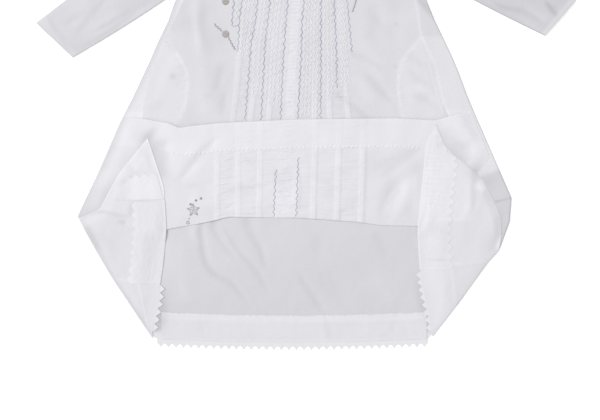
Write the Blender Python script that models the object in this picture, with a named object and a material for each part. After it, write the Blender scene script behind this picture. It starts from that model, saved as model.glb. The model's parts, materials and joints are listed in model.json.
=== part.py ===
"""A child's embroidered cotton dress, laid flat on its back with the front hem folded up.

The dress lies in the XY plane with its neck towards +Y, face up, and rests on z = 0.
Every piece is a sheet of cloth of one wall thickness. Pieces meet edge to edge at the
seams with a small gap, and layers that lie on each other are one step apart in height.
Tables give places in millimetres, in the garment's own layout; meshes are in metres.
"""
import math

import bmesh
import bpy

MM = 0.001
CLOTH = 1.0          # wall of every cloth sheet
GAP = 0.3            # air between layers, and between pieces at a seam
STEP = CLOTH + GAP   # one layer up
SEAM = 0.2           # how far each piece stops short of its seam line

# Heights of the sheets' middle surfaces, from the surface that the dress lies on.
BACK_Z = CLOTH / 2
INNER_Z = BACK_Z + STEP            # hem facing and pocket bags, between back and front
FRONT_Z = BACK_Z + 2 * STEP
TURNED_HEM_Z = BACK_Z + 3 * STEP   # the front's turned hem, under the folded-up front
FOLDED_Z = BACK_Z + 4 * STEP
FLAP_TOP_Z = BACK_Z + 5 * STEP
FLAP_LOW_Z = BACK_Z + 2 * STEP
ON_FLAP = STEP + 0.2

FOLD_RADIUS = 1.3    # how far a folded edge bulges out beyond its flat sheet
FOLD_POINTS = 3

TUCK_HALF = 3.2      # half the width of a pressed tuck
TUCK_HEIGHT = 0.7
TOOTH = 7.0          # height of a picot tooth
HEM_DEPTH = 41.0     # depth of the turned hem, without its teeth
FRONT_PITCH = 12.2   # spacing of the teeth on the front hem
BACK_PITCH = 10.7    # spacing of the teeth on the back hem
EDGING_BASE = 5.4    # plain strip that carries the back hem's teeth
BINDING = 4.0        # width of the neck binding
SLIT_DEPTH = 56.0
FRONT_NECK_DROP = 60.0
BACK_NECK_DROP = 20.0

# Side edges of the flat dress, from the armpit down to the widest corner and on along
# the folded diagonal below it. Rows: y, x.
EDGE = {
    "left": [(168.0, -171.0), (148.0, -181.0), (99.0, -204.5), (-20.0, -264.5),
             (-155.0, -320.0), (-241.0, -271.5), (-327.5, -213.0)],
    "right": [(193.0, 154.0), (148.0, 168.0), (122.0, 178.0), (71.0, 201.5), (18.0, 221.0),
              (-8.0, 232.5), (-129.0, 284.0), (-162.0, 281.5), (-201.5, 267.5),
              (-220.0, 252.0), (-325.0, 172.0)],
}

# Armhole seam: shoulder tip, top of the side panel's seams, armpit. Rows: y, x.
ARMHOLE = {
    "left": [(297.0, -145.5), (182.0, -159.5), (168.0, -171.0)],
    "right": [(313.5, 145.5), (207.0, 143.0), (193.0, 154.0)],
}

# Seam between a body panel and the side panel, below the armhole. Rows: y, x. Both
# pieces have a row of cloth at each of these heights, so that they turn together.
SEAM_LINE = {
    "left": [(148.0, -171.5), (90.0, -199.5), (45.0, -216.5), (-21.0, -227.5)],
    "right": [(160.0, 151.5), (97.0, 162.5), (63.0, 176.5), (6.0, 190.5)],
}
# The same seams go on under the folded part: on the front to the widest corner, on the
# back to the folded diagonal.
FRONT_SEAM_LOW = {
    "left": [(-90.0, -277.0), (-150.5, -312.0)],
    "right": [(-90.0, 232.0), (-137.2, 229.7)],
}
BACK_SEAM_LOW = {
    "left": [(-90.0, -243.5), (-157.5, -258.0), (-241.0, -267.5)],
    "right": [(-90.0, 217.0), (-201.0, 243.5), (-220.0, 247.5)],
}

NECK_POINT = {"left": (-88.0, 325.0), "right": (86.0, 334.7)}   # x, y
SLIT_X = -5.75          # middle of the front neck slit at the neck edge
SLIT_FOOT_X = -10.0     # it leans as the garment does
SLIT_HALF = 6.0
# Heights of the rows of cloth at the left and right seams. Rows: left y, right y.
BACK_ROWS = [(182.0, 207.0), (148.0, 160.0), (90.0, 97.0), (45.0, 63.0), (-21.0, 6.0),
             (-90.0, -90.0), (-157.5, -201.0), (-240.7, -219.7)]
# Rows: left y, right y, share of the tucks' height.
FRONT_ROWS = [(182.0, 207.0, 1.0), (148.0, 160.0, 1.0), (90.0, 97.0, 1.0),
              (45.0, 63.0, 1.0), (-2.0, 6.0, 1.0), (-21.0, -14.0, 0.0),
              (-90.0, -90.0, 0.0)]
CHEST_ROW = 1
NECK, CHEST, FOLD, HEM = range(4)   # the levels at which the tucks' places are given
FOLD_MIDDLE_Y = -162.0
SHOULDER_SHARES = [0.0, 0.25, 0.5, 0.75]
BACK_COLUMNS = [0.0, 0.1, 0.2, 0.26, 0.33, 0.41, 0.5, 0.59, 0.67, 0.74, 0.8, 0.9, 1.0]

# Front: x of each tuck at the neck, at the chest, at the fold and at the folded-up hem.
TUCKS = [
    (-77.0, -91.0, -126.0, -125.0),
    (-54.5, -69.5, -96.5, -96.0),
    (-40.5, -52.0, -67.0, -64.5),
    (-18.0, -26.5, -47.0, -39.0),
    (6.5, -4.0, -14.5, -11.0),
    (21.0, 19.5, 11.0, 12.5),
    (35.0, 38.0, 43.5, 45.5),
    (47.0, 56.0, 77.0, 80.0),
]
PLAIN_COLUMNS = {"left": 3, "right": 4}   # columns outside the tucks at each side
FOLDED_ROWS = [(0.0, 0.0), (0.1, 1.0), (0.3, 1.0), (0.5, 1.0), (0.75, 1.0), (1.0, 1.0)]

# The fold across the front, and the hem edge of the folded-up part. Rows: x, y.
FOLD_LINE = [(-320.0, -156.0), (-199.0, -173.5), (-145.5, -164.0), (-108.0, -155.5),
             (-11.0, -157.0), (68.5, -162.5), (105.0, -167.5), (154.0, -168.5),
             (203.0, -165.0), (221.0, -157.0), (229.5, -139.0)]
HEM_LINE = [(-260.0, -10.0), (-228.0, -20.0), (-180.5, -30.0), (-122.0, -24.5),
            (-10.0, -19.5), (123.0, -18.0), (180.5, -21.0), (197.5, -15.5), (229.5, -8.0)]
# Side edges of the folded-up part, from the fold to the hem edge. Rows: y, x.
FOLDED_SIDE = {
    "left": [(-156.0, -312.0), (-20.0, -261.0), (-10.0, -258.0)],
    "right": [(-139.0, 229.5), (-110.0, 231.0), (-87.0, 247.0), (-70.0, 255.5), (-8.0, 230.0)],
}

# The side flaps, folded over onto the dress. Rows: x, y.
FLAP_OUTER = {   # from the flap's corner on the outline up to its peak
    "left": [(-316.0, -156.0), (-288.5, -144.0), (-283.0, -131.5), (-271.5, -109.0),
             (-260.5, -91.0), (-225.5, -46.0)],
    "right": [(269.0, -199.0), (275.5, -180.5), (274.5, -152.5), (263.0, -127.5),
              (252.0, -108.0), (239.5, -91.0), (222.5, -77.0), (204.5, -68.5),
              (189.5, -54.5), (183.0, -25.0)],
}
FLAP_INNER = {   # from the peak down to the side panel's back seam
    "left": [(-222.5, -46.0), (-206.0, -95.0), (-200.0, -115.0), (-198.5, -148.0),
             (-197.5, -172.0), (-201.5, -215.5), (-206.0, -249.0)],
    "right": [(179.5, -26.0), (166.5, -61.5), (164.0, -89.5), (159.5, -131.5),
              (155.5, -176.5), (158.0, -215.5), (159.5, -229.5)],
}
BACK_INNER = {   # on from that seam down to the corner of the back hem
    "left": [(-206.0, -249.0), (-208.0, -275.0), (-215.0, -321.0)],
    "right": [(159.5, -229.5), (164.0, -285.5), (172.0, -316.0)],
}
FLAP_FOLD_START = {"left": -157.5, "right": -201.0}   # y where the flap begins on the outline
BACK_FOLD_START = {"left": -241.0, "right": -220.0}   # y where the seam meets the outline
BACK_FOLD_END = {"left": -325.0, "right": -322.0}
# Extra rows of a side panel between its seam's last two corners. Rows: outer y, seam y.
CORNER_ROWS = {"left": [], "right": [(-129.0, -107.0), (-162.0, -124.0)]}
FLAP_LEVEL_Y = -178.0    # above this the flaps lie on the folded-up front
FLAP_FOOT_Y = -325.0     # here they lie on the back alone
DIAGONAL_SLANT = 0.5     # fall of a folded diagonal's outward direction, for each step out
FLAP_ROWS = 8
FLAP_COLUMNS = 6
ARMPIT_DROP = 40.0       # the outline's second row lies this far below the armpit
BACK_FLAP_ROWS = 4

BACK_HEM_Y = -329.0
BACK_HEM_X = (-208.0, 167.0)
FACING_TOP_Y = -291.5
FACING_X = (-204.0, 168.0)

# Inner edge of each pocket bag, below its top at the seam. Rows: y, x.
POCKET = {
    "left": [(93.0, -190.0), (70.0, -178.0), (46.0, -167.0), (20.0, -166.5), (-7.0, -173.5),
             (-40.0, -188.0), (-55.0, -214.0)],
    "right": [(95.0, 159.5), (73.0, 138.5), (52.0, 127.5), (20.0, 127.5), (-18.0, 133.0),
              (-42.0, 150.0), (-55.0, 178.0)],
}

# Cuff corners, from the under-seam up. Rows: x, y.
CUFF = {
    "left": [(-329.0, 67.0), (-381.5, 118.0)],
    "right": [(332.3, 99.2), (377.0, 149.2)],
}
SLEEVE_BOW = 2.5         # how far the under-seam bows out between armpit and cuff
SLEEVE_STATIONS = 8
CUFF_Z = FRONT_Z - 0.6

SIDES = ("left", "right")

WHITE = (0.80, 0.79, 0.84, 1.0)
TRIM_WHITE = (0.88, 0.88, 0.91, 1.0)


def lerp(start, end, share):
    """The point or number at a share of the way from start to end."""
    if isinstance(start, (tuple, list)):
        return tuple(lerp(a, b, share) for a, b in zip(start, end))
    return start + (end - start) * share


def look_up(table, key):
    """Second column of a table at a value of the first, read along straight lines."""
    rows = sorted(table)
    if key <= rows[0][0]:
        return rows[0][1]
    for (low, low_value), (high, high_value) in zip(rows, rows[1:]):
        if key <= high:
            return lerp(low_value, high_value, (key - low) / (high - low))
    return rows[-1][1]


def spaced(line, count):
    """Points at equal distances along a line of (x, y) points."""
    lengths = [0.0]
    for a, b in zip(line, line[1:]):
        lengths.append(lengths[-1] + math.dist(a, b))
    points = []
    for index in range(count):
        target = lengths[-1] * index / (count - 1)
        part = 1
        while part < len(line) - 1 and lengths[part] < target:
            part += 1
        share = (target - lengths[part - 1]) / (lengths[part] - lengths[part - 1])
        points.append(lerp(line[part - 1], line[part], share))
    return points


def outward(side):
    return -1.0 if side == "left" else 1.0


def body_seam(side, low_table):
    """Whole side seam of a body panel, from the shoulder tip down. Rows: y, x."""
    return ARMHOLE[side][:2] + SEAM_LINE[side] + low_table[side]


def edge_x(side, y):
    """Where the flat sheet stops so that its fold bulges out to the outline."""
    return look_up(EDGE[side], y) - outward(side) * (CLOTH / 2 + FOLD_RADIUS)


def folded_edge(x, y, low_z, high_z, direction):
    """Points round a folded edge, from the lower sheet to the upper one."""
    points = []
    for index in range(1, FOLD_POINTS + 1):
        turn = math.pi * index / (FOLD_POINTS + 1)
        bulge = FOLD_RADIUS * math.sin(turn)
        height = lerp(low_z, high_z, (1 - math.cos(turn)) / 2)
        points.append((x + direction[0] * bulge, y + direction[1] * bulge, height))
    return points


def flap_z(y):
    """Height of a side flap: on the folded-up front, then sinking to the back hem."""
    if y >= FLAP_LEVEL_Y:
        return FLAP_TOP_Z
    return lerp(FLAP_TOP_Z, FLAP_LOW_Z, (FLAP_LEVEL_Y - y) / (FLAP_LEVEL_Y - FLAP_FOOT_Y))


class Sheet:
    """A sheet of cloth gathered from grids of points that share their meeting edges."""

    def __init__(self, name, colour=WHITE, even=True):
        self.name = name
        self.colour = colour
        self.even = even
        self.mesh = bmesh.new()

    def grid(self, rows, closed=False):
        """Adds a grid of points; closed joins each row's last point to its first."""
        corners = [[self.mesh.verts.new([value * MM for value in point]) for point in row]
                   for row in rows]
        last = len(rows[0]) if closed else len(rows[0]) - 1
        for upper, lower in zip(corners, corners[1:]):
            for index in range(last):
                following = (index + 1) % len(upper)
                self.mesh.faces.new((upper[index], upper[following], lower[following],
                                     lower[index]))

    def finish(self):
        """Joins the grids and gives the sheet its wall and its material."""
        bmesh.ops.remove_doubles(self.mesh, verts=self.mesh.verts, dist=0.01 * MM)
        bmesh.ops.recalc_face_normals(self.mesh, faces=self.mesh.faces)
        mesh = bpy.data.meshes.new(self.name)
        self.mesh.to_mesh(mesh)
        self.mesh.free()
        piece = bpy.data.objects.new(self.name, mesh)
        bpy.context.collection.objects.link(piece)
        wall = piece.modifiers.new("Wall", "SOLIDIFY")
        wall.thickness = CLOTH * MM
        wall.offset = 0.0
        wall.use_even_offset = self.even
        mesh.materials.append(cloth_material(self.name, self.colour))
        return piece


def cloth_material(name, colour):
    material = bpy.data.materials.new(name)
    material.use_nodes = True
    shader = material.node_tree.nodes["Principled BSDF"]
    shader.inputs["Base Color"].default_value = colour
    shader.inputs["Roughness"].default_value = 0.9
    shader.inputs["Metallic"].default_value = 0.0
    return material


def clear_scene():
    for item in list(bpy.data.objects):
        bpy.data.objects.remove(item, do_unlink=True)


# --- neck and shoulders -------------------------------------------------------------

def shoulder_y(x):
    """Height of the shoulder line, carried straight across the neck."""
    (left_x, left_y), (right_x, right_y) = NECK_POINT["left"], NECK_POINT["right"]
    tips = {side: ARMHOLE[side][0] for side in SIDES}
    line = [(tips["left"][1], tips["left"][0]), (left_x, left_y), (right_x, right_y),
            (tips["right"][1], tips["right"][0])]
    return look_up(line, x)


def neck_y(x, drop):
    """Height of the neckline, a flattened half oval hung between the neck points."""
    left_x, right_x = NECK_POINT["left"][0], NECK_POINT["right"][0]
    middle, half = (left_x + right_x) / 2, (right_x - left_x) / 2
    across = min(1.0, abs(x - middle) / half)
    return shoulder_y(x) - drop * (1 - across ** 2.4) ** (1 / 2.4)


def front_z(x, y):
    """Height of the front, which comes down on the back at the shoulder seam."""
    near = max(0.0, 1.0 - (shoulder_y(x) - y) / 30.0)
    return FRONT_Z - STEP * near


# --- back ---------------------------------------------------------------------------

def back_boundary(side, y):
    """Edge of the back's flat sheet, at its seams and then at its folded corners."""
    if y <= BACK_FOLD_START[side]:
        return edge_x(side, y)
    return look_up(body_seam(side, BACK_SEAM_LOW), y) - outward(side) * SEAM


def diagonal_points(side, start_y, end_y, count):
    """Points down the folded outline, where the flat sheet begins to turn over."""
    heights = [lerp(start_y, end_y, index / (count - 1)) for index in range(count)]
    return [(edge_x(side, y), y) for y in heights]


def fold_direction(side):
    """Which way a folded diagonal faces, about square to it in plan."""
    length = math.hypot(1.0, DIAGONAL_SLANT)
    return (outward(side) / length, -DIAGONAL_SLANT / length)


def back_panel():
    sheet = Sheet("back")
    rows = []
    top_y = [min(shoulder_y(x), neck_y(x, BACK_NECK_DROP))
             for x in back_xs(0.0, BACK_ROWS[0])]
    for share in SHOULDER_SHARES:
        xs = back_xs(share, BACK_ROWS[0])
        heights = [lerp(top, lerp(*BACK_ROWS[0], column), share)
                   for top, column in zip(top_y, BACK_COLUMNS)]
        rows.append([(x, y, BACK_Z) for x, y in zip(xs, heights)])
    for left_y, right_y in BACK_ROWS:
        left_x = back_boundary("left", left_y)
        right_x = back_boundary("right", right_y)
        rows.append([(lerp(left_x, right_x, column), lerp(left_y, right_y, column), BACK_Z)
                     for column in BACK_COLUMNS])
    corners = {side: diagonal_points(side, BACK_FOLD_START[side] - 2 * GAP, BACK_FOLD_END[side],
                                     BACK_FLAP_ROWS + 1) for side in SIDES}
    for left, right in zip(corners["left"], corners["right"]):
        rows.append([(*lerp(left, right, column), BACK_Z) for column in BACK_COLUMNS])
    rows.append([(lerp(*BACK_HEM_X, column), BACK_HEM_Y, BACK_Z) for column in BACK_COLUMNS])
    sheet.grid(rows)
    for side in SIDES:
        inner = spaced(BACK_INNER[side], BACK_FLAP_ROWS + 1)
        sheet.grid(flap_rows(side, corners[side], inner, -2 * SEAM, columns=3))
    return sheet.finish()


def back_xs(share, chest):
    """x of the back's columns at a share of the way from the shoulders to the chest row."""
    ends = []
    for side, chest_y in zip(SIDES, chest):
        y = lerp(ARMHOLE[side][0][0], chest_y, share)
        ends.append(look_up(ARMHOLE[side], y) - outward(side) * SEAM)
    return [lerp(*ends, column) for column in BACK_COLUMNS]


def flap_rows(side, folded, inner, first_shift, columns, bow=None):
    """Rows of a flap, each from the lower sheet round the folded outline to the inner edge.

    first_shift moves the first row off the seam; bow gives each column's distance from
    the straight line on the first row, and fades out towards the last.
    """
    rows = []
    count = len(folded)
    for index, (start, end) in enumerate(zip(folded, inner)):
        shift = first_shift if index == 0 else 0.0
        fade = (1.0 - index / (count - 1)) ** 2
        row = [(*start, BACK_Z)]
        row += folded_edge(*start, BACK_Z, flap_z(start[1]), fold_direction(side))
        for column in range(columns + 1):
            share = column / columns
            x, y = lerp(start, end, share)
            if bow:
                x += bow[column][0] * fade
                y += bow[column][1] * fade
            y += shift * share
            row.append((x, y, flap_z(y)))
        rows.append(row)
    return rows


# --- side panels --------------------------------------------------------------------

def side_panel(side):
    """A gore: its back half, its front half, and the flap that turns over at the hem."""
    sheet = Sheet("side_panel_" + side)
    front_seam = body_seam(side, FRONT_SEAM_LOW)
    back_seam = body_seam(side, BACK_SEAM_LOW)
    armpit_y, seam_top_y = ARMHOLE[side][2][0], ARMHOLE[side][1][0]
    upper_rows = [(armpit_y - 1.5, seam_top_y - 1.5)]
    upper_rows += [(min(y, armpit_y - ARMPIT_DROP), y) for y, _ in front_seam[2:-1]]
    upper_rows += CORNER_ROWS[side]
    upper_rows.append((FLAP_FOLD_START[side] + 7.0, front_seam[-1][0]))
    folded = diagonal_points(side, FLAP_FOLD_START[side], BACK_FOLD_START[side] + GAP,
                             FLAP_ROWS + 1)

    starts = [(edge_x(side, outer_y), outer_y, inner_y) for outer_y, inner_y in upper_rows]
    starts += [(x, y, y) for x, y in folded]
    strip = []
    for x, y, inner_y in starts:
        seam_x = look_up(back_seam, inner_y) + outward(side) * SEAM
        strip.append([(seam_x, inner_y, BACK_Z), (*lerp((seam_x, inner_y), (x, y), 0.5), BACK_Z),
                      (x, y, BACK_Z)])
    sheet.grid(strip)

    front = []
    for x, y, inner_y in starts[:len(upper_rows)]:
        seam_x = look_up(front_seam, inner_y) + outward(side) * SEAM
        row = [(x, y, BACK_Z)]
        row += folded_edge(x, y, BACK_Z, FRONT_Z, (outward(side), 0.0))
        row += [(*lerp((x, y), (seam_x, inner_y), share), FRONT_Z) for share in (0.0, 0.5, 1.0)]
        front.append(row)
    sheet.grid(front)

    outer = spaced(FLAP_OUTER[side], FLAP_COLUMNS + 1)
    bow = [(curve[0] - lerp(outer[0][0], outer[-1][0], index / FLAP_COLUMNS),
            curve[1] - lerp(outer[0][1], outer[-1][1], index / FLAP_COLUMNS))
           for index, curve in enumerate(outer)]
    inner = spaced(FLAP_INNER[side], FLAP_ROWS + 1)
    sheet.grid(flap_rows(side, folded, inner, 0.0, FLAP_COLUMNS, bow))
    return sheet.finish()


# --- front --------------------------------------------------------------------------

def front_columns():
    """x of every column at the neck, the chest, the fold and the hem, and its ridge height.

    Plain columns fill in beside the tucks; each tuck has a column at its crest and one at
    each foot, and the neck slit has three columns that only part at the neck.
    """
    plain_left = [(0.0, 0.0), (0.5, 0.33), (1.0, 0.66)]
    plain_right = [(0.5, 0.25), (0.0, 0.5), (0.5, 0.75), (1.0, 1.0)]
    neck_left, neck_right = NECK_POINT["left"][0], NECK_POINT["right"][0]
    tip_left = ARMHOLE["left"][0][1] + SEAM
    tip_right = ARMHOLE["right"][0][1] - SEAM
    sides = front_side_xs()
    columns = []
    first_foot = [value - TUCK_HALF for value in TUCKS[0]]
    for neck_share, share in plain_left:
        columns.append(([lerp(tip_left, neck_left, neck_share)]
                        + [lerp(sides["left"][level], first_foot[level + 1], share)
                           for level in range(3)], 0.0))
    for index, tuck in enumerate(TUCKS):
        for offset in (-TUCK_HALF, 0.0, TUCK_HALF):
            ridge = 0.0 if offset else TUCK_HEIGHT
            columns.append(([value + offset for value in tuck], ridge))
        if index == 3:
            columns += slit_columns()
    last_foot = [value + TUCK_HALF for value in TUCKS[-1]]
    neck_xs = [lerp(last_foot[0], neck_right, plain_right[0][0]), neck_right,
               lerp(neck_right, tip_right, plain_right[2][0]), tip_right]
    for neck_x, (_, share) in zip(neck_xs, plain_right):
        columns.append(([neck_x] + [lerp(last_foot[level + 1], sides["right"][level], share)
                                    for level in range(3)], 0.0))
    return columns


def front_side_xs():
    """x of the front's two sides at the chest, the fold and the hem."""
    ends = {}
    for side, chest_y in zip(SIDES, FRONT_ROWS[CHEST_ROW]):
        chest_x = look_up(SEAM_LINE[side], chest_y) - outward(side) * SEAM
        ends[side] = (chest_x, FOLDED_SIDE[side][0][1], FOLDED_SIDE[side][-1][1])
    return ends


def slit_columns():
    """The columns beside the neck slit and at its foot."""
    before = [value + TUCK_HALF for value in TUCKS[3]]
    after = [value - TUCK_HALF for value in TUCKS[4]]
    columns = []
    for neck_x, share in ((SLIT_X - SLIT_HALF, 0.35), (SLIT_FOOT_X, 0.5),
                          (SLIT_X + SLIT_HALF, 0.65)):
        columns.append(([neck_x] + [lerp(before[level], after[level], share)
                                    for level in (1, 2, 3)], 0.0))
    return columns


def front_top_y(x):
    """Height of the front's upper edge: shoulder, neckline, or the foot of the slit."""
    y = min(shoulder_y(x), neck_y(x, FRONT_NECK_DROP))
    if abs(x - SLIT_FOOT_X) < 0.5:
        y -= SLIT_DEPTH
    return y


def front_row(columns, heights, level, share):
    """A row of the front, a share of the way from one level of its columns to the next.

    The levels are the neck, the chest, the fold and the hem; its ends lie on the seams.
    """
    row = [(lerp(xs[level], xs[level + 1], share), y) for (xs, _), y in zip(columns, heights)]
    for side, index in (("left", 0), ("right", -1)):
        seam = body_seam(side, FRONT_SEAM_LOW)
        move_plain(row, side, look_up(seam, row[index][1]) - outward(side) * SEAM)
    return row


def move_plain(row, side, target_x):
    """Slides a row's plain columns so that its end lands on the target."""
    start, step = (0, 1) if side == "left" else (len(row) - 1, -1)
    move = target_x - row[start][0]
    for place in range(PLAIN_COLUMNS[side]):
        x, *rest = row[start + step * place]
        row[start + step * place] = (x + move * (1 - place / PLAIN_COLUMNS[side]), *rest)


def slanted(columns, ends):
    """Height at each column of a straight row between its two ends' heights."""
    left_x, right_x = columns[0][0][1], columns[-1][0][1]
    return [lerp(*ends, (xs[1] - left_x) / (right_x - left_x)) for xs, _ in columns]


def front_panel():
    sheet = Sheet("front")
    columns = front_columns()
    top = [front_top_y(xs[NECK]) for xs, _ in columns]
    armhole = slanted(columns, FRONT_ROWS[0][:2])
    rows = []

    def add(heights, level, share, ridge_share):
        row = front_row(columns, heights, level, share)
        rows.append([(x, y, front_z(x, y) + ridge * ridge_share)
                     for (x, y), (_, ridge) in zip(row, columns)])

    tip_y, armhole_y, chest_y = ARMHOLE["left"][0][0], FRONT_ROWS[0][0], FRONT_ROWS[1][0]
    armhole_share = (tip_y - armhole_y) / (tip_y - chest_y)
    for share in SHOULDER_SHARES:
        heights = [lerp(high, low, share) for high, low in zip(top, armhole)]
        add(heights, NECK, share * armhole_share, 1.0)
    add(armhole, NECK, armhole_share, 1.0)
    middle_chest_y = sum(FRONT_ROWS[CHEST_ROW][:2]) / 2
    for left_y, right_y, ridge_share in FRONT_ROWS[CHEST_ROW:]:
        share = ((middle_chest_y - (left_y + right_y) / 2)
                 / (middle_chest_y - FOLD_MIDDLE_Y))
        add(slanted(columns, (left_y, right_y)), CHEST, share, ridge_share)

    start = [(xs[FOLD], fold_y(xs[FOLD])) for xs, _ in columns]
    rows.append([(x, y, FRONT_Z) for x, y in start])
    turn = [folded_edge(x, y, FRONT_Z, FOLDED_Z, (0.0, -1.0)) for x, y in start]
    rows += [list(row) for row in zip(*turn)]
    for share, ridge_share in FOLDED_ROWS:
        row = []
        for (xs, ridge), start_point in zip(columns, start):
            end_point = (xs[HEM], look_up(HEM_LINE, xs[HEM]))
            row.append((*lerp(start_point, end_point, share),
                        FOLDED_Z + ridge * ridge_share))
        for side, index in (("left", 0), ("right", -1)):
            move_plain(row, side, look_up(FOLDED_SIDE[side], row[index][1]))
        rows.append(row)
    sheet.grid(rows)
    return sheet.finish()


def fold_y(x):
    """Height at which the front's flat sheet begins to turn up at its fold."""
    return look_up(FOLD_LINE, x) + FOLD_RADIUS + CLOTH / 2


# --- hems ---------------------------------------------------------------------------

def toothed(line_at, depth_at, count, valley, tip):
    """Rows across a strip with picot teeth: its plain edge, and its edge of teeth."""
    plain, teeth = [], []
    for index in range(2 * count + 1):
        share = index / (2 * count)
        depth = tip if index % 2 else valley
        plain.append(line_at(share))
        teeth.append(depth_at(share, depth))
    return [plain, teeth]


def turned_hem_middle():
    """The front's turned hem where it lies under the folded-up front."""
    sheet = Sheet("turned_hem_middle", TRIM_WHITE)
    left_x, right_x = -214.0, 178.0
    count = round((right_x - left_x) / FRONT_PITCH)

    def edge(share):
        x = lerp(left_x, right_x, share)
        return (x, look_up(HEM_LINE, x) - 1.5, TURNED_HEM_Z)

    def teeth(share, depth):
        x, y, z = edge(share)
        return (x, y - depth, z)

    sheet.grid(toothed(edge, teeth, count, HEM_DEPTH - 2.0, HEM_DEPTH - 2.0 + TOOTH))
    return sheet.finish()


def turned_hem_side(side, top_y, bottom_y):
    """The turned hem that shows on a flap, its teeth pointing away from the fold."""
    sheet = Sheet("turned_hem_" + side, TRIM_WHITE)
    inner = [(y, x) for x, y in FLAP_INNER[side]]
    outer = [(y, x) for x, y in FLAP_OUTER[side]]
    count = round((top_y - bottom_y) / FRONT_PITCH)

    def edge(share):
        y = lerp(top_y, bottom_y, share)
        return (look_up(inner, y) + outward(side) * 0.5, y, flap_z(y) + ON_FLAP)

    def teeth(share, depth):
        x, y, z = edge(share)
        reach = x + outward(side) * depth
        limit = look_up(outer, y) - outward(side) * 2.0
        if side == "right" and y > -150.0:
            reach = min(reach, limit)
        return (reach, y, z)

    sheet.grid(toothed(edge, teeth, count, HEM_DEPTH, HEM_DEPTH + TOOTH))
    return sheet.finish()


def turned_hem_pleat():
    """The turned hem of the small pleat that lies across the left flap."""
    sheet = Sheet("turned_hem_pleat", TRIM_WHITE)
    bottom = [(-271.0, -127.0), (-247.0, -131.5), (-200.5, -130.5)]
    top = [(-271.0, -117.0), (-253.0, -101.0), (-208.0, -98.0)]
    count = 5

    def edge(share):
        x, y = at_share(bottom, share)
        return (x, y, FLAP_TOP_Z + ON_FLAP)

    def teeth(share, depth):
        x, y = at_share(top, share)
        return (x, y + depth, FLAP_TOP_Z + ON_FLAP)

    sheet.grid(toothed(edge, teeth, count, 0.0, TOOTH))
    return sheet.finish()


def at_share(line, share):
    """The point of a line of (x, y) points at a share of its length."""
    return spaced(line, 101)[round(share * 100)]


def back_facing():
    """The facing inside the back hem, between the two flaps and a little under them."""
    sheet = Sheet("back_hem_facing", TRIM_WHITE)
    columns = 8
    rows = []
    for share in (0.0, 0.5, 1.0):
        y = lerp(FACING_TOP_Y, BACK_HEM_Y + 0.5, share)
        rows.append([(lerp(*FACING_X, index / columns), y, INNER_Z)
                     for index in range(columns + 1)])
    sheet.grid(rows)
    return sheet.finish()


def back_edging():
    """Picot teeth along the back hem, lying on the surface."""
    sheet = Sheet("picot_back", TRIM_WHITE)
    left_x, right_x = BACK_HEM_X
    count = round((right_x - left_x) / BACK_PITCH)

    def edge(share):
        return (lerp(left_x, right_x, share), BACK_HEM_Y - GAP, BACK_Z)

    def teeth(share, depth):
        x, y, z = edge(share)
        return (x, y - depth, z)

    sheet.grid(toothed(edge, teeth, count, EDGING_BASE, EDGING_BASE + TOOTH))
    return sheet.finish()


def back_edging_side(side):
    """Picot teeth where the back hem stands on edge beside the opening."""
    sheet = Sheet("picot_back_" + side, TRIM_WHITE)
    line = BACK_INNER[side]
    start_y, end_y = line[0][1] - 2.0, line[-1][1]
    table = [(y, x) for x, y in line]
    count = round((start_y - end_y) / BACK_PITCH)

    def edge(share):
        y = lerp(start_y, end_y, share)
        return (look_up(table, y) - outward(side) * 2 * GAP, y, flap_z(y))

    def teeth(share, depth):
        x, y, z = edge(share)
        return (x - outward(side) * depth, y, z)

    sheet.grid(toothed(edge, teeth, count, 1.0, TOOTH))
    return sheet.finish()


# --- pockets, sleeves and neck ------------------------------------------------------

def pocket_bag(side):
    """A pocket bag hanging inside the front from its seam with the side panel."""
    sheet = Sheet("pocket_bag_" + side)
    seams = body_seam(side, FRONT_SEAM_LOW)
    inner = POCKET[side]
    rows = []
    for y, x in inner:
        seam_x = look_up(seams, y) - outward(side) * 1.5
        rows.append([(lerp(seam_x, x, share), y, INNER_Z) for share in (0.0, 0.5, 1.0)])
    sheet.grid(rows)
    return sheet.finish()


def sleeve(side):
    """A straight sleeve, pressed flat: a tube that is open at the cuff and the armhole."""
    sheet = Sheet("sleeve_" + side)
    corner = math.dist(*ARMHOLE[side][1:]) / armhole_length(side)
    shares = [0.0] + [lerp(corner, 1.0, part) for part in (0.0, 0.3, 0.6, 1.0)]
    inset = CLOTH / 2 + FOLD_RADIUS
    rings = []
    for station in range(SLEEVE_STATIONS):
        along = station / (SLEEVE_STATIONS - 1)
        flat = [sleeve_point(side, along, across) for across in shares]
        span = math.dist(flat[0], flat[-1])
        direction = ((flat[-1][0] - flat[0][0]) / span, (flat[-1][1] - flat[0][1]) / span)
        flat[0] = (flat[0][0] + direction[0] * inset, flat[0][1] + direction[1] * inset)
        flat[-1] = (flat[-1][0] - direction[0] * inset, flat[-1][1] - direction[1] * inset)
        high_z = lerp(FRONT_Z, CUFF_Z, along)
        ring = [(*point, BACK_Z) for point in flat]
        ring += folded_edge(*flat[-1], BACK_Z, high_z, direction)
        ring += [(*point, high_z) for point in reversed(flat)]
        under = folded_edge(*flat[0], BACK_Z, high_z, (-direction[0], -direction[1]))
        ring += list(reversed(under))
        rings.append(ring)
    sheet.grid(rings, closed=True)
    return sheet.finish()


def armhole_length(side):
    line = ARMHOLE[side]
    return math.dist(line[0], line[1]) + math.dist(line[1], line[2])


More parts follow.
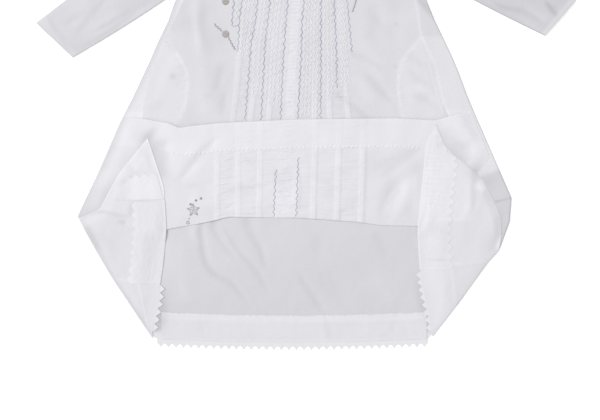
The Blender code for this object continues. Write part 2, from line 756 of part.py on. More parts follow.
def sleeve_point(side, along, across):
    """A point of the flat sleeve; across runs from the under-seam to the upper edge."""
    armhole = [(x, y) for y, x in reversed(ARMHOLE[side])]
    corner = math.dist(*armhole[:2]) / armhole_length(side)
    if across <= corner:
        start = lerp(armhole[0], armhole[1], across / corner)
    else:
        start = lerp(armhole[1], armhole[2], (across - corner) / (1.0 - corner))
    start = (start[0] + outward(side) * 2 * SEAM, start[1])
    x, y = lerp(start, lerp(*CUFF[side], across), along)
    bow = SLEEVE_BOW * math.sin(math.pi * along) * (1 - across)
    return (x, y - bow)


def neck_binding():
    """The binding round the neck edge and down both sides of the front slit."""
    sheet = Sheet("neck_binding", TRIM_WHITE, even=False)
    front = [(x, y, front_z(x, y)) for x, y in front_neck_line()]
    back = [(x, y, BACK_Z) for x, y in back_neck_line()]
    strips = []
    for line in (front, back):
        outer = beside(line, GAP)
        inner = beside(line, GAP + BINDING)
        strips.append((outer, inner))
    outer = strips[0][0] + list(reversed(strips[1][0]))
    inner = strips[0][1] + list(reversed(strips[1][1]))
    sheet.grid([outer, inner], closed=True)
    return sheet.finish()


def front_neck_line():
    """Points along the front's neck edge from left to right, down the slit and back."""
    left_x, right_x = NECK_POINT["left"][0], NECK_POINT["right"][0]
    xs = [xs[0] for xs, _ in front_columns()]
    return [(x, front_top_y(x)) for x in xs if left_x - 0.1 < x < right_x + 0.1]


def back_neck_line():
    """Points along the back's neck edge from left to right."""
    left_x, right_x = NECK_POINT["left"][0], NECK_POINT["right"][0]
    inside = [x for x in back_xs(0.0, BACK_ROWS[0]) if left_x < x < right_x]
    xs = [left_x] + inside + [right_x]
    return [(x, neck_y(x, BACK_NECK_DROP)) for x in xs]


def beside(line, distance):
    """The line moved sideways to its left, with mitred corners."""
    moved = []
    for index, (x, y, z) in enumerate(line):
        normals = []
        for a, b in zip(line[max(0, index - 1):], line[max(1, index):index + 2]):
            length = math.dist(a[:2], b[:2])
            normals.append((-(b[1] - a[1]) / length, (b[0] - a[0]) / length))
        sum_x = sum(normal[0] for normal in normals) / len(normals)
        sum_y = sum(normal[1] for normal in normals) / len(normals)
        square = sum_x ** 2 + sum_y ** 2
        moved.append((x + distance * sum_x / square, y + distance * sum_y / square, z))
    return moved


def main():
    clear_scene()
    back_panel()
    front_panel()
    back_facing()
    back_edging()
    turned_hem_middle()
    turned_hem_pleat()
    turned_hem_side("left", -134.0, -248.0)
    turned_hem_side("right", -58.0, -228.0)
    neck_binding()
    for side in SIDES:
        side_panel(side)
        sleeve(side)
        pocket_bag(side)
        back_edging_side(side)


main()
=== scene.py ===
"""A child's embroidered cotton dress, laid flat with its front hem folded up.

The cloth, its stitching and the stage are built as a small add-on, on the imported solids.
Tables give places in millimetres in the garment's own layout, neck towards +Y, face up;
meshes are in metres. The body's edges, seams, pockets and wavy lines are listed as y, x,
and the fold, the hems, the flaps, the cuffs and all creases as x, y.
"""
import json
import math

import bmesh
import bpy
import numpy as np
from mathutils.bvhtree import BVHTree
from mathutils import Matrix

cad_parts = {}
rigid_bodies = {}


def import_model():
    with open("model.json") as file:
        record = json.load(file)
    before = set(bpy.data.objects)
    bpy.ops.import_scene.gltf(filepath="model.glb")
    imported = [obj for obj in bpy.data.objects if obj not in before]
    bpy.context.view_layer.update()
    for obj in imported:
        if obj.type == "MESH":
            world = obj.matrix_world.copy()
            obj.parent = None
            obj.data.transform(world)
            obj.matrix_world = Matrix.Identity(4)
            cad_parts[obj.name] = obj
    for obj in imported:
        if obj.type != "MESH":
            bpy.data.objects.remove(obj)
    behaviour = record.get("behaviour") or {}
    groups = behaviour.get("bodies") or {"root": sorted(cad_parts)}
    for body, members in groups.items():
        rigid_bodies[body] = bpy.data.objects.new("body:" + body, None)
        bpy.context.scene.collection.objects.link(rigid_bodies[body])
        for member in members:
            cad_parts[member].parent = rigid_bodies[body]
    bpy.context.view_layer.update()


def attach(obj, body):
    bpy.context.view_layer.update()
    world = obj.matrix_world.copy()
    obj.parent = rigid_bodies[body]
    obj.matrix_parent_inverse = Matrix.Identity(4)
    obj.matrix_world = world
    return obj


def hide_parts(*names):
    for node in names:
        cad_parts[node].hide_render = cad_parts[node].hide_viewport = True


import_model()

bl_info = {
    "name": "Embroidered dress",
    "version": (1, 0, 0),
    "blender": (4, 5, 0),
    "location": "3D View > Sidebar > Dress",
    "description": "Builds a child's embroidered cotton dress, laid flat and folded",
    "category": "Add Mesh",
}

MM = 0.001
FULL_TURN = 2 * math.pi
SIDES = ("left", "right")
OUTWARD = {"left": -1, "right": 1}

# Heights of the middle of each layer of cloth above the surface it lies on.
BACK_Z = 0.35
INNER_Z = 1.8
FRONT_Z = 3.1
TURNED_HEM_Z = 4.4
FOLDED_Z = 5.7
FLAP_TOP_Z = 7
FLAP_FOOT_Z = 3.1
STEP = 1.3            # how much lower the front lies at the shoulders and neck
OPEN_FLOOR = 2        # how far the back stands off where nothing lies on it
FOLD_INSET = 1.8      # a folded edge bulges out this far beyond its flat sheet
FOLD_BULGE = 1.5
PUFF = 2.4            # how far the resting cloth stands off the layers under it
FLAP_LEVEL_Y = -178   # below here a flap sinks towards the floor, as far as FLAP_FOOT_Y
FLAP_FOOT_Y = -325
COLUMNS_ROUND = 5     # points round a folded edge, between its two sheets

# Side edges of the flat dress, from the armpit to the widest corner and on along the
# folded diagonal below it.
EDGE = {
    "left": [(168, -171), (148, -185), (120, -194.8), (85, -211.5), (63, -220.7), (7, -247),
             (-20, -261.3), (-94, -293.6), (-155, -322.3), (-200, -297.5), (-241, -273.5),
             (-327.5, -216)],
    "right": [(193, 154), (148, 168), (122, 178.6), (71, 203), (45, 213.8), (18, 223.8),
              (-8, 234.5), (-60, 257.2), (-129, 287.2), (-162, 284.6), (-201.5, 270), (-220, 253),
              (-273, 215), (-325, 175)],
}
ARMHOLE = {   # shoulder tip, top of the side panel's seams, armpit
    "left": [(297, -145.5), (182, -159.5), (168, -171)],
    "right": [(313.5, 145.5), (207, 143), (193, 154)],
}
SEAM_LINE = {
    "left": [(148, -173), (95, -198.5), (60, -214), (28, -224.5), (-21, -231)],
    "right": [(160, 149.8), (97, 160.7), (63, 176.5), (6, 190.5)],
}
FRONT_SEAM_LOW = {"left": [(-90, -277), (-150.5, -312)], "right": [(-90, 232), (-137.2, 229.7)]}
BACK_SEAM_LOW = {
    "left": [(-90, -243.5), (-157.5, -258), (-241, -267.5)],
    "right": [(-90, 217), (-201, 243.5), (-220, 247.5)],
}
NECK_POINT = {"left": (-88, 325), "right": (86, 334.7)}
FRONT_NECK_DROP = 60
BACK_NECK_DROP = 20
SLIT_X = -5.75
SLIT_FOOT_X = -10
SLIT_HALF = 6
SLIT_DEPTH = 56
BINDING_HALF = 2.2    # half the width of the neck's bound edge

# The fold across the front, and the hem edge of the folded-up part.
FOLD_LINE = [(-320, -156), (-199, -173.5), (-145.5, -164), (-108, -155.5), (-11, -157),
             (68.5, -162.5), (105, -167.5), (154, -168.5), (203, -165), (221, -157),
             (229.5, -139)]
HEM_LINE = [(-260, -16), (-229, -18.3), (-192, -25), (-178, -31.5), (-157, -28.5), (-122, -24.8),
            (-10, -19.5), (123, -18), (180.5, -21), (197.5, -15.5), (229.5, -8)]
FOLDED_SIDE = {
    "left": [(-156, -319.3), (-94, -291), (-20, -258.8), (-10, -254.5)],
    "right": [(-139, 229.5), (-110, 231), (-87, 247), (-70, 255.5), (-8, 230)],
}

# The side flaps, folded over onto the dress: outer edge from the corner to the peak, and
# inner edge from the peak to the back seam, then on down the back's folded corner.
FLAP_OUTER = {
    "left": [(-318.3, -156), (-288.5, -144), (-283, -131.5), (-271.5, -109), (-260.5, -91),
             (-225.5, -46)],
    "right": [(271.5, -199), (275.5, -180.5), (274.5, -152.5), (263, -127.5), (253, -108),
              (239.5, -92), (222.5, -79), (206, -67.5), (197, -56.5), (190.5, -44.8),
              (186.5, -34), (183, -25)],
}
FLAP_INNER = {
    "left": [(-222.5, -46), (-206, -95), (-200, -115), (-198.5, -148), (-197.5, -172),
             (-201.5, -215.5), (-206, -249)],
    "right": [(180.5, -25), (176, -32), (170.5, -46), (166.5, -61.5), (164, -89.5),
              (159.5, -131.5), (155.5, -176.5), (158, -215.5), (159.5, -229.5)],
}
BACK_INNER = {
    "left": [(-206, -249), (-208, -272), (-214, -300), (-217, -316)],
    "right": [(159.5, -229.5), (160.5, -242), (164.5, -263), (169.5, -284), (173.5, -304),
              (174.5, -316)],
}
FLAP_FOLD_START = {"left": -157.5, "right": -201}
BACK_FOLD_START = {"left": -241, "right": -220}
BACK_FOLD_END = {"left": -325, "right": -322}
DIAGONAL_SLANT = 0.5  # sideways step of the folded diagonals for each step down

# Heights of the back's rows at its left and right seams.
BACK_ROWS = [(182, 207), (148, 160), (90, 97), (45, 63), (-21, 6), (-90, -90), (-157.5, -201),
             (-240.7, -219.7)]
BACK_FACING_EDGE = {   # inner edge of the facing behind the back's corners
    "left": [(-246, -237), (-275, -231)],
    "right": [(-233, 203), (-275, 208)],
}
BACK_HEM_Y = -329
BACK_HEM_X = (-210.5, 170)
FACING_TOP_Y = -291.5
FACING_X = (-204, 168)
HEM_DEPTH = 41        # of the front's turned hem, to the valleys between its teeth
TOOTH_LENGTH = 6
FRONT_PITCH = 12.2    # spacing of the teeth along the turned hem of the flaps
BACK_PITCH = 10.7     # and along the back hem
HEM_BAND_SPAN = {"left": (-134, -248.5), "right": (-40, -229)}
BAND_LIFT = 0.52      # of a flap's turned hem above the flap
THIN_WALL = 0.0004

# Inner edge of each pocket bag, down from its top at the seam.
POCKET = {
    "left": [(93, -195), (70, -179), (46, -167), (20, -166.5), (-7, -173.5), (-40, -188),
             (-55, -214)],
    "right": [(95, 158.5), (73, 138.5), (52, 127.5), (20, 127.5), (-18, 133), (-42, 150),
              (-55, 178)],
}
CUFF = {   # cuff corners, from the under-seam up
    "left": [(-328.5, 68), (-380.5, 117)],
    "right": [(334, 98.6), (378, 148.6)],
}
SLEEVE_BOW = 2.5      # sag of the sleeves' under-seams
SLEEVE_LENGTH = 183
SLEEVE_WIDTH = 134
# Painted shade: the right sleeve darker, away from the light, and the rims where the cloth turns
# under.
SLEEVE_TONES = {"left": (218, 216, 214), "right": (208, 206, 192)}   # face, upper rim, lower

# Pressed bands down the front: x at the neck, the chest, above the folded-up hem, at the
# fold and at the folded-up hem. The two middle ones are the edges of the plain strip.
BAND_LEVELS = (290, 148, 8, -162)
BANDS = [
    (-76, -87.5, -100.2, -126, -125),
    (-50, -61, -75.6, -96.5, -96),
    (-31, -39.2, -51.1, -67, -64.5),
    (-19.5, -26.6, -35.5, -47, -41.5),
    (3.5, -4.2, -12.3, -15, -12),
    (12.5, 9.8, 11.2, 8, 12),
    (26, 28, 30.8, 41.5, 45.5),
    (43, 47.6, 56, 75, 79),
]
STRIP_EDGES = (3, 4)
BAND_OFFSETS = (-4.6, -3.4, -2.7, -1.4, 0, 1.4, 2.7, 3.4, 4.6)
# bands painted with a shadow down their right side
SHADED_BANDS = (5, 6, 7)

# Wavy stitch lines down the upper front (y, x), then those on the folded-up part.
WAVES = [
    [(303, -92), (148.4, -102.2), (113.4, -105.7)],
    [(285, -77), (148.4, -91), (124.6, -94.5), (82.6, -96.6), (75.6, -98)],
    [(279, -54.5), (148.4, -69.4), (116.2, -72.8), (89.6, -78.4), (42, -81.9), (-20.5, -86.8)],
    [(275, -40.5), (148.4, -51.8), (113.4, -56), (89.6, -58.8), (23.8, -62.3), (-20.5, -64.4)],
    [(270, -18), (148.4, -26.6), (121.8, -29.4), (63, -33.6), (-19.5, -37.2)],
    [(270, 5.5), (148.4, -4.2), (121.8, -7), (68.6, -8.4), (-18.5, -13.2)],
    [(273, 20), (148.4, 19.6), (-17.5, 18.9)],
    [(276, 34), (148.4, 37.8), (68.6, 41.3), (25.2, 41.3)],
    [(280, 46), (148.4, 56), (95.2, 60.9), (75.6, 63)],
]
FOLDED_WAVES = [[(-89.3, -43.7), (-155.4, -47)], [(-72, -12.2), (-155.4, -15.4)]]
# White wavy rows: the stitch lines they lie between, how many, and where they stop.
WHITE_ROWS = [(0, 1, 1, 118), (1, 2, 3, 70), (2, 3, 2, 14), (3, 4, 4, -2), (5, 6, 5, -16),
              (6, 7, 3, 12), (7, 8, 2, 30), (7, 8, 1, 12)]

# Embroidered dots, each with the lean of its threads, and stems, x, y.
DOTS = [(-114.1, 100.8, 0.5), (-114.1, 146.5, 0.3), (-120, 192, 0.7), (76, 186, -0.6)]
STEMS = [
    [(-130, 115), (-124.5, 109.5), (-119, 105)],
    [(-110.5, 96.5), (-107, 90), (-103.5, 83), (-100, 79)],
    [(-131, 166), (-124, 158), (-118, 151)],
    [(69, 149.5), (66.5, 140), (63.5, 132)],
    [(69, 149.5), (72.5, 166), (75, 181)],
    [(-120, 197), (-127, 208), (-132, 216)],
]
STAR = (-159, -145.8)
BEADS = [(-148.4, -129.5), (-155.4, -132.2), (-163, -137.6)]

# Creases: width, height (a trough is below zero) and lean, then x and y of each point.
# All but the sleeves' are also painted into the tone: painted shade in troughs, light on ridges.
FRONT_CREASES = [
    (7, 0.9, 0, -153, 160, -154, 118, -149, 88, -143, 62),
    (7, -1.1, 0.4, -118, 62, -128, 16),
    (4, -0.9, 0, -113, 20, -118, -18),
    (10, 0.8, 0.3, -140, 70, -150, 20, -170, -10),
    (12, 0.9, -0.3, -190, 120, -150, 140, -120, 175),
    (11, 0.9, 0.4, 75, 96, 100, 60, 110, 20),
    (5, -1.1, 0.3, 80, 48, 100, 26, 126, -2),
    (4, -1.1, 0, 34, 20, 56, 8, 72, -4, 94, -24),
    (4, -0.9, 0.3, 56, 76, 92, 62, 108, 50),
    (9, -1, 0.3, 84, 140, 120, 100, 140, 96),
    (12, 0.8, 0, 100, 170, 120, 132),
    (12, 0.9, 0.3, -60, 205, -110, 232, -138, 262),
    (12, 0.9, -0.3, 60, 214, 104, 240, 134, 276),
    (9, -0.9, 0.2, -130, 210, -100, 178),
    (9, -0.9, 0.2, 120, 226, 92, 188),
]
FOLDED_CREASES = [
    (5, -1.3, 0.5, -123, -42, -138.6, -56, -160, -84, -186, -110),
    (9, 0.9, 0, -146, -52, -190, -98),
    (4, -0.9, 0, -170, -116, -148.4, -111.4, -134, -124),
    (7, 0.8, 0, -166, -126, -140, -138, -120, -134),
    (4.5, -0.9, 0, -122, -120.4, -90, -116, -71.4, -114.1, -46, -110),
    (4, -0.6, 0, -118, -104, -84, -98),
    (5, 0.7, 0, -112, -134, -80, -128, -60, -131),
    (4, -0.7, 0, -90, -70, -70, -84, -50, -88),
    (9, -1.5, 0.4, 166, -57, 140, -68, 116.2, -81.2, 82, -96),
    (10, 0.9, -0.3, 156, -80, 122, -99, 96, -112),
    (6.5, -1.3, 0.5, 136, -100, 118, -118, 107, -136, 101, -160),
    (10, 0.8, 0, 148, -108, 130, -130, 121, -158),
    (3.5, -0.5, 0, 20, -60, 34, -68),
    (4, -0.7, 0, 48, -92, 70, -98),
    (4, -0.7, 0, 46, -150, 66, -141, 74, -150),
    (3.5, -0.6, 0, 15, -104, 40, -108),
    (9, 0.8, 0, -250, -34, -232, -70, -270, -120),
    (4, -0.9, 0.4, -206, -30, -215, -37, -223, -48),
    (7, -1.2, 0, -205, -48, -198, -62, -192, -84),
    (7, -1.2, 0.4, 190, -30, 212, -52, 238, -66),
    (8, 0.9, 0, 205, -22, 232, -40, 250, -66),
]
FLAP_CREASES = {
    "left": [
        (3, -0.9, 0.6, -318, -156, -290, -147, -262, -154, -242, -155.5),
        (3, -1.2, 0, -264, -160, -258, -166, -250, -160),
        (9, 0.9, 0, -300, -168, -285, -190, -276, -222),
        (9, -0.8, 0, -292, -180, -262, -196, -252, -216),
        (8, 0.7, 0, -240, -90, -222, -74),
        (4, -0.7, 0, -262, -118, -244, -96, -222, -92),
        (7, 0.7, 0, -236, -262, -228, -300),
    ],
    "right": [
        (4, 0.8, 0, 226, -100, 228.5, -130, 223, -152, 214, -163),
        (4.5, -0.9, 0, 235, -98, 237, -126, 231, -150),
        (6, -0.5, 0, 252, -118, 250, -138, 240, -160),
        (2.6, -0.9, 0.5, 179, -32, 184, -36, 190, -48, 197, -62),
        (2.6, 0.8, 0, 173, -46, 180, -40, 184, -47),
        (2.6, -0.8, 0, 166, -219.5, 200, -216),
        (7, 0.7, 0, 186, -250, 196, -282),
    ],
}
BACK_CREASES = [
    (4.5, -1.6, 0.5, -149, -140, -149, -185, -142, -222, -129, -238, -103, -249, -80, -281),
    (5, -1.5, 0.4, -138, -140, -128, -176, -98, -218),
    (6, 1, 0, -160, -150, -158, -190),
    (6, -1.3, 0.3, -92, -140, -76, -184, -63, -201.6, -57.4, -234),
    (4, -1.1, 0.3, -104, -196, -95, -205, -72, -228, -52, -264),
    (4, -1, 0.3, -14, -232, -2, -251, 30, -298),
    (9, -0.9, 0, 10, -172, 20, -206, 30, -236, 54, -282),
    (9, -0.6, 0, 96, -176, 118, -214),
    (12, 0.7, 0, -180, -190, -176, -240, -160, -282),
    (12, 0.6, 0, 96, -236, 130, -284),
]
SLEEVE_CREASES = {
    "left": [
        (6, -1.1, 0.3, -190, 160, -250, 128, -318, 92),
        (9, 1, 0, -186, 190, -240, 156, -300, 132),
        (7, -1.1, 0.3, -176, 210, -230, 190),
        (5, 0.8, 0, -200, 146, -262, 108),
        (5, -0.8, 0, -300, 132, -342, 112),
        (9, 0.9, 0, -160, 240, -206, 216),
    ],
    "right": [
        (6, -1.1, -0.3, 176, 186, 240, 158, 312, 122),
        (9, 1, 0, 182, 212, 236, 184, 300, 154),
        (7, -1.1, 0.3, 170, 232, 226, 214),
        (5, 0.8, 0, 206, 164, 268, 130),
        (5, -0.8, 0, 300, 160, 348, 138),
        (9, 0.9, 0, 158, 262, 204, 240),
    ],
}

# The pleat in the left flap, and the turned hem that shows on it.
PLEAT_BAND = [(-194, -131), (-246, -132), (-250, -122), (-238, -106), (-210, -97), (-194, -108)]

# Painted shading: width, change of tone and lean, then x and y of each point of a stroke.
SHADES = {
    "back": [
        (3, 7, 0, -131, -166, -122, -185, -108, -206),
        (3, -6, 0, -118, -168, -108, -188, -98, -204),
        (4, 4, 0, -155, -165, -153, -198),
        (5, 5, 0, 12, -186, 22, -225, 32, -262),
        (4, -14, 0, -213, -306, -214, -322),
        (10, -17, 0, -205, -250, -207, -285, -210, -322),
        (5, -8, 0, 154, -236, 158, -263, 164, -290, 168, -312),
        (12, 3, 0, -198, -160, -200, -215, -205, -250),
        (2.5, -3, 0, -150, -292, -146, -330),
        (4, -4, 0, 24, -290, 28, -318, 36, -332),
        (3, -2, 0, 64, -292, 66, -330),
        (3, -3, 0, 126, -300, 100, -332),
        (3, -2, 0, 104, -292, 86, -330),
    ],
    "front": [
        (7, 2.5, 0, -160, 170, -160, 120, -154, 90, -148, 62),
        (16, -8.5, 0, -172, 200, -168, 140, -166, 92),
        (9, -6, 0, -146, 170, -146, 120, -140, 90, -131, 60),
        (2.5, -4, 0, -150, 57, -138, 55),
        (2, -4, 0, -146, 14, -132, 14),
        (16, -2.5, 0, 100, 150, 140, 140),
        (9, 4, 0, -150, 30, -148, -18),
        (12, -5, 0, -118, 68, -122, 30, -118, -16),
        (10, -3.5, 0, -130, 148, -128, 110, -116, 80),
        (9, -4, 0, -175, 148, -196, 100),
        (8, -2.5, 0, 90, 128, 92, 88),
        (4, -2.5, 0, 56, 76, 92, 62, 108, 50),
        (5, -3.5, 0.3, 80, 48, 100, 26, 126, -2),
        (3.5, -3.5, 0, 34, 20, 56, 8, 94, -24),
        (9, 4, 0, 64, 46, 78, 24, 92, 0),
        (7, 4, 0, 150, 34, 166, 20, 184, 2),
        (5, -4, 0, 98, 62, 106, 44),
        (2, 4, 0, -14.5, 40, -15, -12),
        (3, -8, 0, -202, 98, -192, 86, -180, 72),
        (9, 2, 0, 108, 148, 106, 70),
        (10, -4, 0, 150, 40, 176, 4),
        (6, -5, 0, 136, 76, 168, 52),
        (4, -4, 0.4, 138, 56, 150, 38, 172, 30),
        (5, -4, 0.3, 140, 16, 164, 10, 184, -6),
        (6, 4, 0, 150, 28, 170, 20),
        (5, 3, 0, 140, 34, 146, 4),
        (6, -3.5, 0.3, -172, 60, -186, 20),
        (5, 3, 0, -180, 84, -204, 44, -212, 4),
        (5, -3.5, 0, -198, 10, -226, -10),
    ],
    "folded": [
        (10, -4, 0, -206, -46, -200, -58),
        (4, -2.5, 0, -212, -32, -224, -42),
        (3, -3, 0, -96, -160, -40, -156, 60, -160),
        (10, 10, 0, 233, -42, 239, -70, 238, -92),
        (6, 11, 0, 224, -76, 231, -93),
        (4, -5, 0, 95, -104, 130, -80, 165, -55),
        (10, 6.5, 0, 118, -160, 135, -122, 146, -84),
        (4, 4, 0, 152, -90, 150, -160),
        (5, 4, 0, 108, -164, 126, -150),
        (5, -5, 0, -46, -84, -42, -114),
        (2.2, -8, 0, -14, -76, -8, -112, -13, -150),
        (3, -7, 0, 112, -140, 122, -126, 134, -112),
        (4, 6, 0, -172, -98, -156, -80, -140, -56),
        (6, -4.5, 0, -118, -124, -84, -120, -46, -108),
        (4, 4.5, 0, -136, -146, -100, -140, -66, -136),
        (5, 2.5, 0, 16, -138, 80, -142),
        (5, 4, 0, 242, -44, 248, -62),
    ],
    "gore right": [
        (8, 6, 0, 236, -92, 252, -108),
        (3, 12, 0, 273, -180, 265, -204),
        (4, -17, 0, 140, 178, 159, 148, 166.5, 139, 182, 118),
    ],
    "flap left": [
        (4, -5, 0, -262, -72, -250, -84, -240, -96),
        (5, -7, 0, -311, -164, -299, -186, -288, -206),
        (6, -9, 0.6, -247, -136, -222, -138, -204, -136),
        (4, -7, 0.6, -246, -134, -248, -156),
        (2.5, -6, 0, -316, -156, -288, -146, -262, -154, -242, -155),
        (3, -8, 0, -262, -160, -254, -166),
        (3.5, -4, 0, -268, -112, -246, -98, -216, -92),
        (3, 5, 0, -225, -50, -216, -76, -206, -96),
    ],
    "flap right": [
        (2, 3, 0, 158, -160, 192, -158, 224, -160),
        (2, -4, 0, 160, -214, 200, -216),
        (3, 2.5, 0, 226, -100, 228.5, -130, 223, -152, 214, -163),
        (8, 1.6, 0, 218, -92, 219, -130, 214, -156),
        (4, -2.5, 0, 235, -98, 237, -126, 231, -150),
        (2.5, 5, 0, 176, -36, 184, -38, 190, -50),
        (4, -6, 0, 182, -50, 186, -60),
        (6, 15, 0, 236, -106, 250, -120),
        (3, 12, 0, 273, -180, 265, -204),
        (4, 3, 0, 258, -132, 264, -156),
    ],
    "sleeve left": [
        (4, -7, 0.4, -276, 160, -290, 144, -316, 115, -328, 95),
        (3, -8, 0.3, -236, 133, -284, 102, -311, 85, -332, 74),
        (3, -6, 0.3, -364, 130, -359, 113, -343, 92, -333, 77),
        (8, 4, 0, -258, 140, -296, 112, -316, 92),
        (8, -4, 0, -226, 150, -180, 176),
        (9, 3, 0, -330, 128, -304, 152),
    ],
    "sleeve right": [
        (4, -16, 0.6, 332, 148, 350, 124),
        (4, -9, 0.4, 257, 148, 268, 139, 302, 133, 318, 124, 335, 112),
        (7, 5, 0, 300, 140, 340, 118),
        (7, 4, 0, 230, 148, 262, 140),
        (4, -12, 0, 232, 152, 268, 128, 322, 104),
    ],
}

PLEAT = [(-225, -44), (-262, -91), (-292, -146), (-262, -153), (-247, -154), (-247, -132),
         (-200, -131), (-197, -115), (-206, -95)]


# --- lines and tables ---

def lerp(start, end, share):
    """The value at a share of the way from start to end."""
    return start + (end - start) * share


def even(count):
    """Evenly spaced shares from 0 to 1."""
    return np.linspace(0, 1, count)


def soft_step(value, low, high):
    """Rises smoothly from 0 at low to 1 at high."""
    share = np.clip((value - low) / (high - low), 0, 1)
    return share * share * (3 - 2 * share)


BLUR = [(step / 3, (4 - abs(step)) / 16) for step in range(-3, 4)]   # steps and weights


def read(table, keys, soft=4):
    """Second column of a table at values of the first, with its corners rounded."""
    rows = sorted(table)
    before = lerp(np.array(rows[1]), np.array(rows[0]), 4)
    after = lerp(np.array(rows[-2]), np.array(rows[-1]), 4)
    rows = np.array([tuple(before), *rows, tuple(after)], float)
    keys = np.asarray(keys, float)
    return sum(weight * np.interp(keys + soft * step, *rows.T) for step, weight in BLUR)


def swapped(table):
    """The same table with its two columns changed over."""
    return [(second, first) for first, second in table]


def running_total(steps):
    """Distance covered before the first step and after each one."""
    return np.concatenate([[0], np.cumsum(steps)])


def hump(distance, width):
    """1 at no distance, falling away smoothly over about the width."""
    return np.exp(-(distance / width) ** 2)


def trace(points, count, soft=0):
    """Points at equal distances along a line, with its corners rounded by about soft."""
    points = np.array(points, float)
    lengths = running_total(np.hypot(*np.diff(points, axis=0).T))
    places = np.linspace(0, lengths[-1], count)
    reach = np.minimum(soft, np.minimum(places, lengths[-1] - places))
    total = 0
    for step, weight in BLUR:
        moved = places + reach * step
        total = total + weight * np.stack(
            [np.interp(moved, lengths, column) for column in points.T], 1)
    return total


def from_line(x, y, points):
    """Distance to a line of points, share along it, and the side of it, at each place."""
    points = np.array(points, float)
    lengths = running_total(np.hypot(*np.diff(points, axis=0).T))
    nearest = np.full(np.shape(x), 1e9)
    along = np.zeros(np.shape(x))
    side = np.zeros(np.shape(x))
    for index, (a, b) in enumerate(zip(points, points[1:])):
        run = b - a
        length = math.hypot(*run)
        if length < 1e-9:
            continue
        share = np.clip(((x - a[0]) * run[0] + (y - a[1]) * run[1]) / length ** 2, 0, 1)
        off_x, off_y = x - a[0] - share * run[0], y - a[1] - share * run[1]
        distance = np.hypot(off_x, off_y)
        closer = distance < nearest
        nearest = np.where(closer, distance, nearest)
        place = (lengths[index] + share * length) / lengths[-1]
        along = np.where(closer, place, along)
        side = np.where(closer, np.sign(run[0] * off_y - run[1] * off_x), side)
    return nearest, along, side


def inside(x, y, polygon, soft=1.5, grow=0):
    """1 well inside a polygon, 0 well outside, and between them within soft of its edge."""
    within = np.zeros(np.shape(x), bool)
    for (ax, ay), (bx, by) in zip(polygon, polygon[1:] + polygon[:1]):
        crosses = (ay > y) != (by > y)
        where = ax + (bx - ax) * (y - ay) / ((by - ay) or 1e-9)
        within ^= crosses & (x < where)
    distance = from_line(x, y, polygon + polygon[:1])[0]
    return soft_step(np.where(within, distance, -distance) + grow, -soft, soft)


def wander(x, y, size, seed):
    """A smooth uneven field from about -1 to 1 whose swells are about size across."""
    dice = np.random.default_rng(seed)
    total = np.zeros(np.broadcast(x, y).shape)
    for _ in range(9):
        angle = dice.uniform(0, FULL_TURN)
        pace = FULL_TURN / (size * dice.uniform(0.8, 2.4))
        phase = dice.uniform(0, FULL_TURN)
        total += np.cos((x * math.cos(angle) + y * math.sin(angle)) * pace + phase)
    return total / 4.5


def beside(x, y, points, width):
    """1 on a line, fading away from it over about the width."""
    return np.exp(-from_line(x, y, trace(points, 40, soft=6))[0] / width)


def relief(x, y, creases):
    """Height that soft ridges and troughs add at each place, or tone that painted shading adds."""
    total = np.zeros(np.broadcast(x, y).shape)
    for width, height, lean, *places in creases:
        path = trace(np.reshape(places, (-1, 2)), 20, soft=14)
        low, high = path.min(0) - 3 * width, path.max(0) + 3 * width
        near = (x > low[0]) & (x < high[0]) & (y > low[1]) & (y < high[1])
        if not near.any():
            continue
        distance, along, side = from_line(x[near], y[near], path)
        distance = distance / (width * (1 + 0.25 * np.sin(along * 7 + width)))
        fade = soft_step(along, -0.05, 0.25) * soft_step(1 - along, -0.05, 0.3)
        profile = hump(distance, 1) * (1 + lean * side * distance)
        total[near] += height * fade * profile
    return total


# --- the garment's lines ---

def seam(side, low_table):
    """Side seam of a body panel, from the shoulder tip down: y, x."""
    return ARMHOLE[side][:2] + SEAM_LINE[side] + low_table[side]


def edge_x(side, y):
    """Where the flat sheet stops, so that its fold bulges out to the outline."""
    return read(EDGE[side], y, soft=2.5) - OUTWARD[side] * FOLD_INSET


def shoulder_y(x):
    """Height of the shoulder line, carried straight across the neck."""
    line = [swapped(ARMHOLE["left"])[0], NECK_POINT["left"], NECK_POINT["right"],
            swapped(ARMHOLE["right"])[0]]
    return read(line, x, soft=0.5)


def neck_y(x, drop):
    """Height of the neckline, a flattened half oval hung between the neck points."""
    left_x, right_x = NECK_POINT["left"][0], NECK_POINT["right"][0]
    across = np.clip(np.abs(x - (left_x + right_x) / 2) / ((right_x - left_x) / 2), 0, 1)
    return shoulder_y(x) - drop * (1 - across ** 2.4) ** (1 / 2.4)


def whole_outline():
    """Points round the flat body, clockwise from the left shoulder tip."""
    left = swapped(ARMHOLE["left"] + EDGE["left"][1:])
    right = swapped(ARMHOLE["right"] + EDGE["right"][1:])
    neck = [NECK_POINT["left"], (0, 285), NECK_POINT["right"]]
    return neck + right + [(BACK_HEM_X[1], -338), (BACK_HEM_X[0], -338)] + left[::-1]


def inner_edge(side):
    """Points down a side flap and on down the back's corner below it."""
    return FLAP_INNER[side] + BACK_INNER[side][1:]


def opening():
    """Points round the hole where the inside of the back shows."""
    left, right = (inner_edge(side)[4:] for side in SIDES)
    top = [point for point in FOLD_LINE if -198 < point[0] < 156]
    return left[::-1] + top + right


def armhole_x(side, shares):
    """x just inside the armhole, at shares of the way down from the shoulder tip."""
    (tip_y, _), (low_y, _) = ARMHOLE[side][:2]
    return read(ARMHOLE[side][:2], lerp(tip_y, low_y, shares), 0.1) - OUTWARD[side] * 0.1


def puff(x, y):
    """How far the resting cloth stands off: nothing at the outline and at the opening."""
    rim = np.minimum(from_line(x, y, whole_outline())[0],
                     from_line(x, y, opening() + opening()[:1])[0])
    swell = 0.75 + 0.25 * wander(x, y, 75, 3) + 0.08 * wander(x, y, 24, 8)
    return PUFF * (1 - np.exp(-rim / 20)) * swell


# --- heights of the layers ---

